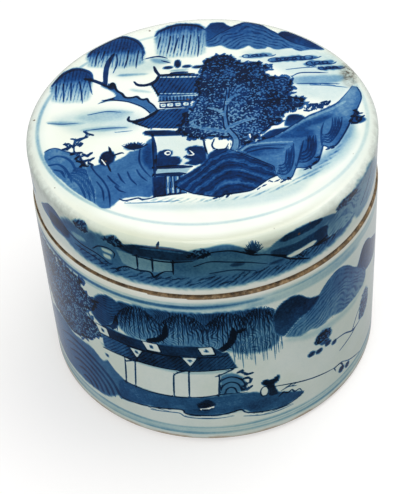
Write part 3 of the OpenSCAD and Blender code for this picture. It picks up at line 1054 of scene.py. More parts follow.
class CoverSideScene(Scene):
    """The cover's side: huts and trees on a low shore, hanging down from the rounded shoulder."""

    def front(self) -> None:
        """The stretch that faces the camera."""
        self.paint(
            Hill([-57, 72, -54, 74.6, -51, 76.8, -48, 77, -45.6, 75.6, -43, 73], [-46, 70, -52, 70], 1.3,
                0.6),
            Wash([-45, 76, -38, 79, -30, 79.4, -22, 78, -4, 78.4, 10, 77.4, 20, 76, 34, 76, 50, 80, 52, 74,
                46, 68.6, 38, 66, 24, 65.2, 8, 65, -10, 65, -26, 65, -38, 66.2, -46, 70], 1.06, 1.3,
                ragged=0.5), Wash([-5, 79.6, 0, 81, 5, 81.4, 9, 79.4, 12, 76, 4, 75], 1.1, 0.4),
            Tint([-41, 74, -37, 74.6, -35.6, 73.4, -39, 72.4], -0.5, 0.5),
            Line([-33, 72.4, -31, 74.4, -28, 75.2, -26, 74.2, -26.4, 72], 0.4, 1.8),
            Tint([-30, 74.4, -27, 74.4, -26.8, 73.2, -29.6, 73.2], -0.9, 0.3),
            Tint([-29.6, 72.2, -27.4, 72.2, -27.4, 70.8, -29.4, 70.8], -0.9, 0.3),
            Tint([-51, 74, -45, 74.4, -42, 71.6, -45, 68.8, -51, 69], 0.9, 0.6),
            Grove([-39.6, 78.6, -38, 80.8, -35.4, 81, -33.6, 79, -35, 77, -38, 77], 1.2, 1),
            Grove([-29.4, 78, -27, 80.8, -24.4, 80.4, -22.6, 78.4, -25, 76.8], 1.4, 1.2),
            Grove([-6, 77.6, -4.4, 80, -1.6, 80.6, 0.4, 79, -1, 77], 1.4, 1.2))
        self.hut()
        self.paint(
            Line([-26.2, 67.4, -24.6, 69, -22.6, 70.2, -20, 69.9, -16, 70.2, -15.2, 68.2, -14, 69.4,
                -12, 71.2, -9.6, 71.6], 0.5, 2),
            Line([-3, 77, 0, 79, 3, 79.4, 6, 79, 9, 77.4, 11.5, 75.8, 15, 74.6, 20, 72, 24, 70, 26, 68.2],
                0.45, 1.9), Line([-4, 74, 0, 75.6, 5, 74.8, 10, 73.4, 15, 71], 0.4, 1.5),
            Line([0, 71, 6, 71.4, 12, 69.4], 0.4, 1.4), Wash(oval((7.2, 73.4), 4, 1.6), 2),
            Wash(oval((18, 70.4), 4.4, 1.2), 1.9), Line([30, 70, 36, 71.2, 42, 74.6, 47, 78.6], 0.45, 1.7),
            Line([33, 68.6, 40, 70.4, 46, 74.4], 0.4, 1.4),
            Line([-44, 73.4, -38, 71.4, -32, 70.8, -28, 69], 0.45, 1.6),
            Line([-40, 69.6, -34, 69, -29, 67.6], 0.4, 1.3),
            Hill([34, 75, 36, 76.4, 40, 77.6, 45, 77.4, 50, 76], [46, 70, 36, 69], 0.62, 0.6, 0.4),
            Wash([46, 76, 50, 79.4, 55, 80.6, 60, 79, 64, 75, 65, 71, 60, 67.4, 48, 66.6], 0.62, 0.8,
                ragged=0.4), Line([50, 70, 54, 73, 57, 77, 58, 79.6], 0.45, 1.3),
            Line([54, 69, 58, 71.4, 62, 75.4], 0.4, 1.2),
            Grove([37.6, 78, 40, 80, 45, 79.6, 48.4, 78, 44, 76.6], 1.1, 1.1))
        for i in range(9):
            a = math.radians(20 + 17.5 * i)
            self.panel.line([11.4, 76.2, 11.4 + 2.9 * math.cos(a), 76.2 + 4.8 * math.sin(a)], 0.45, 1.9)
        self.far_hut()
        p = self.panel
        p.comb([-38, 70.4, -20, 69, 0, 70, 20, 69.4, 40, 72.6, 38, 67, 20, 65.2, -10, 65, -34, 65.6],
            lambda x, y: (y * 0.8 - x * 0.62) / 1.3, 0.55, 0.42, 0.7)
        rng = np.random.default_rng(17)
        for x in np.arange(-34, 38, 1.3):
            low = 66.2 + rng.uniform(0, 3.4)
            self.panel.line([x, low, x + 1.5, low + rng.uniform(0.5, 1.3)], 0.34, 1.1)

    def hut(self) -> None:
        """The low hut at the front."""
        p = self.panel
        wall = [-25.2, 75.8, -9.6, 77, -9.6, 71.6, -15.2, 70.4, -20, 70.2, -23.6, 71]
        p.reserve(wall, sharp=True)
        p.fill(wall, 0.62, 0.2, sharp=True)
        roof = [-24.6, 77.4, -21, 79.6, -17, 80.4, -10, 80.8, -4.6, 79.6, -2.6, 77.4, -6, 76.2, -20, 75.8]
        p.fill(roof, 2.2, 0.25)
        p.line([-18, 79.2, -12, 79.7, -7, 79.2], 0.7, -0.8)
        p.line([-13.5, 80.6, -13.3, 82], 0.8, 2.2)
        for x in (-19.3, -15.1, -9.6):
            p.line([x, 76, x - 0.1, 70.6], 0.45, 2.2)
        p.line([-20.4, 75.6, -12, 75.2, -4.4, 76], 0.5, 2.2)

    def far_hut(self) -> None:
        """The second hut, on the right."""
        p = self.panel
        p.fill([15, 75.6, 19, 79, 27, 80.4, 37, 77.4, 33, 75.8, 24, 75.4, 16, 74], 1, 0.25)
        p.fill([19, 78, 22, 80, 31, 79.8, 31.4, 77.8, 24, 77.2], 2.1, 0.25, ragged=0.3)
        p.fill([16.4, 75.2, 24, 75, 33, 75.4, 33.4, 73, 20, 71.6], 1.8, 0.2)
        p.fill([29.6, 75, 33.8, 75, 33.8, 69.4, 29.8, 69.8], 1.9, 0.2)
        p.reserve([21.4, 71.4, 29.6, 72.2, 29.6, 70.6, 22.6, 70])
        p.line([14.4, 75, 19, 72.2, 22, 69.6, 28, 66], 0.6, 1.9)
        p.line([24, 69.4, 27, 70.4, 34, 69.4, 40, 69], 0.4, 1.6)

    def round_the_back(self) -> None:
        """The stretches that face away: the same low shore going on, with hills, trees and a sail."""
        for right, mirror in ((98, False), (-98, True)):
            there = partial(moved, right=right, mirror=mirror)
            land = [-36, 72, -28, 74.6, -16, 75.6, -4, 75, 10, 76, 24, 74.4, 37, 72.4, 24, 68, 4, 66.6,
                -20, 67.4]
            ridge = [-30, 74, -22, 77, -15, 78, -8, 76.6, 0, 75]
            self.paint(
                Hill(there(ridge), there([-6, 73, -24, 73]), 0.9, 0.9, 0.4),
                Wash(there(land), 0.9, 0.6, ragged=0.5),
                Line(there([-30, 72, -18, 75, -8, 74.6, 4, 76, 18, 74, 30, 71]), 0.45, 1.7),
                Line(there([-20, 70, -6, 71.4, 8, 70.6, 20, 69.4]), 0.4, 1.4),
                Grove(there(oval((6, 76.6), 9, 3.6)), 1.4, 1.1),
                Grove(there(oval((17, 75.6), 6, 3)), 1.2, 0.9))

    def run(self) -> None:
        """Brushes the whole side."""
        self.front()
        self.round_the_back()


class BodyScene(Scene):
    """The body's wall: a house under willows, an angler on a spit of land, and hills across the water."""

    def bands(self) -> None:
        """The brushed bands under the rim and above the foot, and the greyer glaze between them."""
        self.band(59.1, 1.3, 0.35, soft=0.8)
        self.band(59.1, 0.3, 1.35, soft=0.6, start=-160, stop=14)
        self.band(59.8, 0.2, 0.55, soft=0.5, start=10)
        self.band(57.5, 0.7, 0.4, soft=1, start=8, stop=48)
        self.band(5.9, 0.1, 0.55, soft=0.7)
        self.band(4.6, 0.1, 0.3, soft=0.6)
        self.band(3.4, 0.1, 0.6, soft=0.7)

    def left_trees(self) -> None:
        """The great tree and the dark rock at the left edge."""
        crown = [-73, 50, -72, 54, -69, 56.6, -64, 57.4, -56, 56.6, -50, 57.4, -43, 57.3, -38.4, 56.6,
            -40, 54.6, -37.8, 52.2, -35, 51.2, -35.4, 48, -38, 46, -39, 44.4, -38, 42.4, -34.4, 40.6, -33, 38,
            -36, 35.8, -38.2, 33, -42, 30.4, -48, 28.6, -56, 29.6, -61, 31.6, -64, 34.6, -69, 36, -73, 40,
            -71.4, 44, -75, 47]
        rock = Rock([-66, 22, -60, 27.6, -53, 28.8, -47.4, 27.6, -40, 28.4, -37, 27, -35, 25.4, -32.5, 27.4,
                -30.8, 26, -29, 24.4, -27.8, 21, -27.4, 18, -28.8, 14, -32, 11.4, -35, 8.8, -41, 7.9,
                -50, 7.8, -58, 8, -65, 12], 1.05,
            nest(arc((-46, 9), 18.5, 10, 130, 6), arc((-44, 8), 2.5, 10, 130, 6), 6), 1.3, 0.75)
        self.paint(
            Grove(crown, 1.25, 0.75, None, 1.2), Bough([-64, 24, -66, 30, -65, 37, -67, 44], 2.4, 0.9, 1),
            rock, Tint([-53, 57.6, -51, 57.2, -49.4, 54.2, -51, 54.4], -1.6, 0.4))

    def willows(self) -> None:
        """The thicket of willows that hangs behind the house."""
        p = self.panel
        clump = [-36.6, 45, -36, 50, -34, 54, -31, 56.4, -28, 56.2, -26, 54, -26.4, 50, -28.5, 47, -31, 43.6,
            -34, 42.6]
        mass = [-28, 52, -27, 55.6, -22, 56.8, -12, 57, 4, 56.8, 10, 56.4, 14.4, 54.8, 17, 52, 18.6, 47,
            18.6, 43, 17, 39.6, 14, 37.6, 9, 38, 4, 40, 0, 42, -6, 42.6, -12, 42.2, -18, 42.8, -24, 42.6,
            -27.6, 46]

        def tone(x: Array, y: Array) -> Array:
            """Load by place, darkest at the tops of the crowns."""
            lumps = 0.5 + 0.5 * np.cos((x + 27.5) / 13.4 * math.tau + 0.5 * ripple(x, y, 20, 8))
            return (0.75 + 1.1 * ease(46, 56, y) * (0.4 + 0.6 * lumps)) * ease(32, 39, y)

        def strands(x: Array, y: Array) -> Array:
            """Phase of the streaks, which lean a little."""
            return (x + 0.15 * (y - 45) + 1.1 * ripple(x, y, 7, 14)) / 0.9

        p.fill(mass, tone, 0.6, ragged=0.4)
        p.comb(mass, strands, lambda x, y: 0.45 + 0.35 * ease(35, 50, y), 0.46, 1)
        for middle in (-21, -8.5, 3.5, 12.4):
            for i in range(11):
                lean = (i - 5) / 5
                p.line([middle + 3.4 * lean, 56.2 - 1.6 * lean * lean, middle + 5.6 * lean, 51.6,
                        middle + 6.6 * lean, 48.4,
                        middle + 6.9 * lean, 44.6 + 1.6 * math.sin(5.1 * i + middle)], 0.32, 1.3)
        for i in range(13):
            x = 4.6 + 1.15 * i
            p.line([x, 44, x + 0.3, 39.6, x + 0.55, 34.6 + 2.4 * math.sin(2.3 * i)], 0.3, 0.95, (1, 0.3))
        p.fill(clump, 1.5, 0.4, ragged=0.4)
        p.comb(clump, lambda x, y: np.hypot(x + 31, y - 58) + 0.3 * ripple(x, y, 7, 15), 0.8, 0.45, 0.8)
        for trunk, width in (([-27.8, 49.5, -28.2, 46.4, -29.6, 43.8, -32.4, 42], 1.6),
                ([-13, 51.5, -13.4, 47.6, -15, 45, -18.2, 43.2], 1.7),
                ([5, 49.6, 5, 46, 3.6, 43, 0.4, 40.2], 2), ([8.4, 48.8, 6.6, 48, 5, 48.2], 1)):
            p.line(trunk, width, 2.2, (0.4, 1))

    def far_shore(self) -> None:
        """Hills and islets across the water on the right."""
        self.paint(
            Hill([47, 44, 48, 47.4, 49.4, 50, 51, 52.4, 53, 53.4, 55.6, 52.4, 58, 50, 62, 47.4, 66, 44],
                [64, 39, 58, 39.6, 52, 42], 1.6, 0.5, 0.3),
            Hill([20, 40.6, 22, 43, 26, 46.6, 30, 49.6, 33, 53, 36, 55, 38.6, 55.4, 41, 54.6, 44, 52,
                46, 49.6, 50, 46, 54, 41], [53, 36.6, 46, 36, 40, 36.4, 36, 38, 33, 37.3, 30, 37.5, 28, 38.5,
                25, 38, 22, 39.4], 0.92, 0.5, 0.42),
            Hill([16.6, 46, 16.4, 50, 17.4, 53.4, 19.4, 55.2, 22, 56, 24.4, 55.2, 25.6, 54, 28, 51.6,
                31.2, 50.2], [28, 47, 24, 45.4, 21, 42.6, 19.4, 41.2, 17.4, 43], 2.2),
            Line([37.4, 26.2, 42, 25, 46, 22.4, 50, 22, 53.4, 23], 0.45, 1.5),
            Line([40, 19.3, 45, 20.6, 49, 22], 0.45, 1.4), Line([46, 22, 48.4, 26, 50.6, 28.6], 0.45, 1.4),
            Grove([50.6, 22.6, 50.4, 27, 52, 31, 54.6, 33, 57, 30, 57.4, 25, 55, 21.6], 0.9, 0.6),
            Wash(oval((28.4, 27.4), 2.6, 2), 2.2), Wash(oval((31.2, 26.6), 2.4, 2), 2.2),
            Wash(oval((34.6, 27.4), 2.4, 2), 2), Wash(oval((37.2, 25.6), 2, 1.8), 1.8),
            Wash(oval((33.4, 29), 3.4, 1.6), 1.8), Grove(oval((32.8, 31.8), 6.4, 5.4), 1.5, 1.3),
            Tint([20, 39, 30, 37, 46, 35, 54, 36, 46, 33.6, 30, 34.4], 0.22, 1.4))

    def ground(self) -> None:
        """The spit of land with the house's yard, and the shore lines along it."""
        self.paint(
            Wash([-29, 20.8, -20, 20.4, -8, 20.2, 4, 21.2, 10, 20.4, 12.6, 19, 16, 18, 21, 15.4, 25.4, 12.3,
                24, 11, 20, 9.8, 15, 10, 10, 11, 6.6, 13.4, 2, 12.4, -4, 12, -9.5, 12.4, -11, 14.2, -19, 13,
                -25, 12.2, -30, 12], 1.45, 0.3, ragged=0.2),
            Tint([-10, 14, 0, 15.4, 10, 16, 18, 14.4, 14, 12, 4, 13], 0.25, 1.2),
            Line([-30, 12, -25, 12.1, -19, 12.9, -11, 14.2, -9.6, 12.4, -4, 11.9, 2, 12.4, 6, 13.5, 7.4, 12,
                10, 10.9, 15, 9.9, 20, 9.7, 24, 10.9, 25.6, 12.3], 0.5, 2.2),
            Line([-20, 11.4, -12, 12.4, -9.6, 10.9, -2, 10.5, 4, 11], 0.4, 1.2),
            Line([7, 10.2, 14, 8.6, 22, 8.6], 0.4, 1),
            Line([17.6, 15.2, 19, 16.2, 20.4, 15.2, 21.6, 15.9, 22.6, 14.4, 24.2, 14.6, 25, 13], 0.45, 2),
            Line([18.4, 17.4, 20.6, 17.9, 23, 16.8], 0.4, 1.6),
            Wash([-6.2, 17, -4.5, 18.5, -3.4, 19.6, -1.6, 18.5, -1, 17, -3, 15.9, -5.5, 15.4], 2.6, 0.2),
            Line([-5.2, 14.9, -3.4, 15.2, -1.7, 16], 0.6, -2.5),
            Line([-5.6, 14.5, -3.4, 14.6, -1.4, 15.4], 0.3, 1.8),
            Grove([0.9, 21.6, 0.7, 26, 1.2, 29.4, 3, 30.8, 5.4, 30, 7.2, 28, 7.8, 25, 7.2, 22], 0, 1),
            Shrub([7.5, 30, 9, 29.2, 8.2, 27.5, 9.3, 26, 7.8, 24.6, 9, 23, 7.8, 22.6, 6.4, 31], (), 1.4))
        for r in (1.6, 3.1, 4.6):
            self.panel.line(
                [(3.6 + r * math.cos(a), 22 + 1.55 * r * math.sin(a)) for a in (0, 0.8, 1.6, 2.4, 3.1)], 0.5,
                1.8)

    def back(self) -> None:
        """The sides that face away: hills over water, a pine, boats and drifting cloud."""
        ridge = [-40, 33, -32, 40, -24, 48.6, -18, 53, -12, 55, -6, 51.6, 0, 46, 8, 41, 16, 39]
        scallop = [14, 35, 6, 33.8, 0, 35.2, -6, 33.4, -14, 34.4, -22, 32.6, -32, 32]
        for right, mirror in ((104, False), (-118, True)):
            there = partial(moved, right=right, mirror=mirror)
            self.paint(
                Hill(there([-12, 44, -4, 51, 2, 55.4, 8, 53, 14, 47, 22, 42]), there([18, 38, 4, 37]), 1.9),
                Hill(there(ridge), there(scallop), 1.05, 0.9, 0.6),
                Cloud(there([4, 27])[0], 24, 3.4, 0.45, 6), Cloud(there([-20, 24])[0], 16, 2.8, 0.4, 4),
                Wash(there([-36, 12, -24, 15.4, -8, 14, 8, 15.6, 24, 12.6, 10, 10, -16, 9.6]), 1.1),
                Line(there([-36, 12, -24, 15.4, -8, 14, 8, 15.6, 24, 12.6]), 0.45, 1.8),
                Line(there([-10, 15, -12, 20, -9, 25, -11, 30]), 1.3, 2.3),
                Grove(there(oval((-12, 32), 14, 6)), 1.4, 1.2),
                Grove(there(oval((-6, 26.4), 8, 4)), 1.3, 1.1))
            self.boat(there([14, 20])[0], -1 if mirror else 1)

    def boat(self, place: Point, way: int) -> None:
        """Brushes a small boat with a mast and a square sail.

        Args:
            place: its middle, mm.
            way: 1 when its bow points right, or -1.
        """
        p, (x, y) = self.panel, place
        hull = [x - 5 * way, y + 0.6, x + 5.4 * way, y + 0.8, x + 3.4 * way, y - 1.2, x - 3.6 * way, y - 1.2]
        p.fill(hull, 2.2, 0.2, sharp=True)
        p.line([x, y + 0.6, x + 0.2 * way, y + 9], 0.45, 2.1)
        p.fill([x + 0.5 * way, y + 2, x + 4.4 * way, y + 2.4, x + 3.8 * way, y + 8, x + 0.5 * way, y + 8.4],
            0.6, 0.2, sharp=True)
        p.line([x - 8, y - 2.2, x, y - 2.6, x + 8, y - 2.1], 0.4, 0.8)

    def run(self) -> None:
        """Brushes the whole wall."""
        self.back()
        self.left_trees()
        self.willows()
        self.far_shore()
        self.ground()
        House(self.panel).run()
        Angler(self.panel).run()
        self.bands()


def arc(centre: Point, radius: float, start: float, stop: float, count: int = 8) -> list[Point]:
    """Points of a round, from angle start to angle stop in degrees."""
    angles = [math.radians(start + (stop - start) * i / count) for i in range(count + 1)]
    return [(centre[0] + radius * math.cos(a), centre[1] + radius * math.sin(a)) for a in angles]


def rows(points: Sequence[Point], step: float) -> list[Point]:
    """Cuts the long stretches of a profile into rows.

    Args:
        points: the profile's points, mm.
        step: how far apart the rows may be, mm.

    Returns:
        The same profile with more points.
    """
    out = [points[0]]
    for (ar, az), (br, bz) in zip(points, points[1:]):
        count = max(1, math.ceil(math.hypot(br - ar, bz - az) / step))
        out += [(ar + (br - ar) * i / count, az + (bz - az) * i / count) for i in range(1, count + 1)]
    return out


class Wheel:
    """Throws turned pieces in edit mode, one profile at a time, as on a potter's wheel."""

    REACH = 0.02

    def __init__(self, name: str) -> None:
        """Starts a piece with nothing thrown yet.

        Args:
            name: the piece's name.
        """
        self.name = name
        self.parts: list[Thing] = []
        self.piece: Thing | None = None

    def throw(self, profile: Sequence[Point], columns: int) -> None:
        """Extrudes one profile point by point and spins it round the axis.

        Args:
            profile: its points as radius and height, mm.
            columns: how many steps the spin has, a multiple of SECTORS.
        """
        bpy.ops.object.select_all(action="DESELECT")
        bpy.ops.mesh.primitive_plane_add(size=MM, location=(0, 0, 0))
        self.parts.append(bpy.context.object)
        bpy.ops.object.mode_set(mode="EDIT")
        bpy.ops.mesh.select_mode(type="VERT")
        bpy.ops.mesh.select_all(action="SELECT")
        bpy.ops.mesh.merge(type="CENTER")
        bpy.ops.transform.translate(value=(profile[0][0] * MM, 0, profile[0][1] * MM))
        for (ar, az), (br, bz) in zip(profile, profile[1:]):
            shift = ((br - ar) * MM, 0, (bz - az) * MM)
            bpy.ops.mesh.extrude_region_move(TRANSFORM_OT_translate={"value": shift})
        sector, axis = math.tau / SECTORS, {"center": (0, 0, 0), "axis": (0, 0, 1)}
        bpy.ops.mesh.select_all(action="SELECT")
        bpy.ops.mesh.spin(steps=columns // SECTORS, angle=sector, **axis)
        bpy.ops.mesh.select_all(action="SELECT")
        bpy.ops.mesh.spin(steps=SECTORS - 1, dupli=True, angle=math.tau * (SECTORS - 1) / SECTORS, **axis)
        bpy.ops.mesh.select_all(action="SELECT")
        bpy.ops.mesh.remove_doubles(threshold=WELD)
        bpy.ops.object.mode_set(mode="OBJECT")

    def gather(self) -> None:
        """Makes one piece of all that was thrown, and goes into edit mode."""
        bpy.ops.object.select_all(action="DESELECT")
        for part in self.parts:
            part.select_set(True)
        self.piece = self.parts[0]
        bpy.context.view_layer.objects.active = self.piece
        if len(self.parts) > 1:
            bpy.ops.object.join()
        self.piece.name = self.piece.data.name = self.name
        bpy.ops.object.mode_set(mode="EDIT")

    def pick_open_edges(self, *rings: Point) -> None:
        """Selects the open edges that lie on some rings.

        Args:
            rings: a radius and a height for each, mm.
        """
        bpy.ops.mesh.select_all(action="DESELECT")
        bpy.ops.mesh.select_mode(type="EDGE")
        shape = bmesh.from_edit_mesh(self.piece.data)
        for edge in shape.edges:
            if edge.is_boundary:
                x, y, z = edge.verts[0].co / MM
                edge.select = any(abs(math.hypot(x, y) - radius) < self.REACH and abs(z - high) < self.REACH
                    for radius, high in rings)
        bmesh.update_edit_mesh(self.piece.data)

    def join(self, first: Point, second: Point) -> None:
        """Bridges two open rings."""
        self.pick_open_edges(first, second)
        bpy.ops.mesh.bridge_edge_loops()

    def cap(self, ring: Point, span: int) -> None:
        """Closes an open ring with an even grid."""
        self.pick_open_edges(ring)
        bpy.ops.mesh.fill_grid(span=span)

    def finish(self) -> Thing:
        """Turns the faces outwards, smooths them and leaves edit mode.

        Returns:
            The piece.
        """
        bpy.ops.mesh.select_all(action="SELECT")
        bpy.ops.mesh.normals_make_consistent(inside=False)
        bpy.ops.object.mode_set(mode="OBJECT")
        bpy.ops.object.shade_smooth()
        return self.piece


def places(piece: Thing) -> Array:
    """Reads a mesh's vertices.

    Args:
        piece: what has the mesh.

    Returns:
        Their places, one a row, in mm.
    """
    flat = np.empty(len(piece.data.vertices) * 3)
    piece.data.vertices.foreach_get("co", flat)
    return flat.reshape(-1, 3) / MM


def put_places(piece: Thing, spots: Array) -> None:
    """Moves a mesh's vertices to spots, in mm."""
    piece.data.vertices.foreach_set("co", (spots * MM).ravel())
    piece.data.update()


def titled(name: str) -> str:
    """A field's name as the name of a group's input."""
    return name.replace("_", " ").title()


def shade(red: float, green: float, blue: float) -> tuple[float, float, float, float]:
    """An sRGB colour, 0 to 255, as the linear colour that a socket takes."""
    linear = (((c / 255 + 0.055) / 1.055) ** 2.4 if c > 10 else c / 255 / 12.92 for c in (red, green, blue))
    return (*linear, 1.0)


class Graph:
    """Short words for laying out shader nodes."""

    def __init__(self, block: bpy.types.ID) -> None:
        """Empties a material or a world, or takes a new node group.

        Args:
            block: which of them.
        """
        if not isinstance(block, bpy.types.NodeTree):
            block.use_nodes = True
            block.node_tree.nodes.clear()
        self.tree = getattr(block, "node_tree", block)

    def add(self, kind: str, feeds: dict | None = None, **settings: object) -> bpy.types.Node:
        """Adds a node.

        Args:
            kind: its type, after the word ShaderNode.
            feeds: a socket or a plain value for some of its inputs, by name or number.
            settings: the node's own settings.

        Returns:
            The node.
        """
        node = self.tree.nodes.new("ShaderNode" + kind)
        for name, value in settings.items():
            setattr(node, name, value)
        for name, source in (feeds or {}).items():
            if isinstance(source, Socket):
                self.tree.links.new(source, node.inputs[name])
            else:
                node.inputs[name].default_value = source
        return node

    def put(self, kind: str, feeds: dict | None = None, output: str | int = 0, **settings: object) -> Socket:
        """Adds a node as add() does, and gives one of its outputs."""
        return self.add(kind, feeds, **settings).outputs[output]

    def math(self, operation: str, *terms: Socket | float, clamp: bool = False) -> Socket:
        """One step of arithmetic."""
        return self.put("Math", dict(enumerate(terms)), operation=operation, use_clamp=clamp)

    def product(self, *terms: Socket | float) -> Socket:
        """All the terms multiplied."""
        return reduce(partial(self.math, "MULTIPLY"), terms)

    def scaled(self, value: Socket, by: Socket | float, on: Socket | float) -> Socket:
        """Value times by, with on added."""
        return self.math("MULTIPLY_ADD", value, by, on)

    def past(self, value: Socket, limit: Socket) -> Socket:
        """How far value lies past limit."""
        return self.math("SUBTRACT", value, limit)

    def shaken(self, value: Socket, noise: Socket, amount: float) -> Socket:
        """Value moved up and down by noise that lies about 0.5."""
        return self.scaled(self.math("SUBTRACT", noise, 0.5), amount, value)

    def band(self, value: Socket, low: float, high: float, bottom: float = 0.0, top: float = 1.0) -> Socket:
        """Smooth step of value from bottom at low to top at high."""
        feeds = {"Value": value, "From Min": low, "From Max": high, "To Min": bottom, "To Max": top}
        return self.put("MapRange", feeds, "Result", interpolation_type="SMOOTHSTEP")

    def field(self, name: str) -> Socket:
        """A number that the mesh carries."""
        return self.put("Attribute", {}, "Fac", attribute_name=name)

    def noise(self, place: Socket, scale: float, detail: float = 2.0, roughness: float = 0.5) -> Socket:
        """Noise about 0.5, in lumps of 1 / scale metres."""
        feeds = {"Vector": place, "Scale": scale, "Detail": detail, "Roughness": roughness}
        return self.put("TexNoise", feeds, "Fac")

    def stretched(self, place: Socket, *shares: float) -> Socket:
        """A place scaled along each axis."""
        return self.put("VectorMath", {0: place, 1: shares}, operation="MULTIPLY")

    def ramp(self, value: Socket, stops: Sequence[tuple[float, Colour]]) -> Socket:
        """Lays out a colour by value.

        Args:
            value: the value.
            stops: values and their colours, sRGB from 0 to 255.

        Returns:
            The colour.
        """
        node = self.add("ValToRGB", {"Fac": value})
        band = node.color_ramp
        while len(band.elements) < len(stops):
            band.elements.new(0.5)
        for element, (place, colour) in zip(band.elements, stops):
            element.position, element.color = place, shade(*colour)
        return node.outputs["Color"]

    def blend(self, share: Socket, first: Socket, second: Socket | tuple, how: str = "MIX") -> Socket:
        """Mixes two colours."""
        return self.put("Mix", {"Factor": share, 6: first, 7: second}, 2, data_type="RGBA", blend_type=how)

    def bump(self, height: Socket, strength: float, distance: float) -> Socket:
        """The normal of a surface with that height."""
        return self.put("Bump", {"Strength": strength, "Distance": distance, "Height": height})

    def either(self, share: Socket, first: Socket, second: Socket) -> Socket:
        """The first shader, or the second where share is 1."""
        return self.put("MixShader", {0: share, 1: first, 2: second})


def brushwork_group() -> bpy.types.NodeTree:
    """Lays out the node group that turns a panel's fields into one load of cobalt.

    Returns:
        The group, with an input for the place and one for each field.
    """
    tree = bpy.data.node_groups.new("brushwork", "ShaderNodeTree")
    tree.interface.new_socket(name="Place", in_out="INPUT", socket_type="NodeSocketVector")
    for name in Panel.FIELDS:
        tree.interface.new_socket(name=titled(name), in_out="INPUT", socket_type="NodeSocketFloat")
    tree.interface.new_socket(name="Cobalt", in_out="OUTPUT", socket_type="NodeSocketFloat")
    g, inputs = Graph(tree), tree.nodes.new("NodeGroupInput").outputs
    place, load, side, near, half, ink, phase, streak, duty, depth, leaves = inputs[:len(Panel.FIELDS) + 1]
    mottle, grain = g.noise(place, 170, 3, 0.6), g.noise(place, 1500, 2)
    wash = g.product(load, g.scaled(mottle, 0.7, 0.66), g.scaled(grain, 0.5, 0.75))
    edge = g.shaken(g.math("ABSOLUTE", side), grain, 0.2)
    inked = g.band(g.past(edge, half), -0.12, 0.14, 1.0, 0.0)
    limit = g.math("MAXIMUM", g.math("ADD", half, 0.14), 0.38)
    inked = g.product(inked, g.band(g.past(near, limit), -0.02, 0.1, 1.0, 0.0))
    line = g.product(inked, ink, g.scaled(mottle, 0.9, 0.55))
    wander = g.shaken(g.shaken(phase, g.noise(place, 80, 1), 1.0), g.noise(place, 500, 1), 0.4)
    tooth = g.math("ABSOLUTE", g.scaled(g.math("FRACT", wander), 2.0, -1.0))
    thick = g.shaken(duty, g.noise(place, 380, 2), 0.9)
    dry = g.band(g.noise(g.stretched(place, 1.0, 1.0, 0.12), 700, 2), 0.34, 0.62, 0.3, 1.2)
    comb = g.product(g.band(g.past(tooth, thick), -0.28, 0.24, 1.0, 0.0), streak, dry)
    fleck, crowd = g.noise(place, 1500, 1), g.noise(place, 240, 2)
    leafy = g.band(g.math("ADD", depth, g.scaled(fleck, 2.0, -1.2)), -0.15, 0.2)
    dab = g.band(g.shaken(fleck, crowd, 0.3), 0.39, 0.48)
    leaf = g.product(leaves, g.band(crowd, 0.36, 0.62, 0.75, 1.15), dab, leafy)
    total = g.math("ADD", g.math("ADD", wash, line), g.math("ADD", comb, leaf))
    tree.links.new(g.math("MAXIMUM", total, 0.0), tree.nodes.new("NodeGroupOutput").inputs["Cobalt"])
    return tree


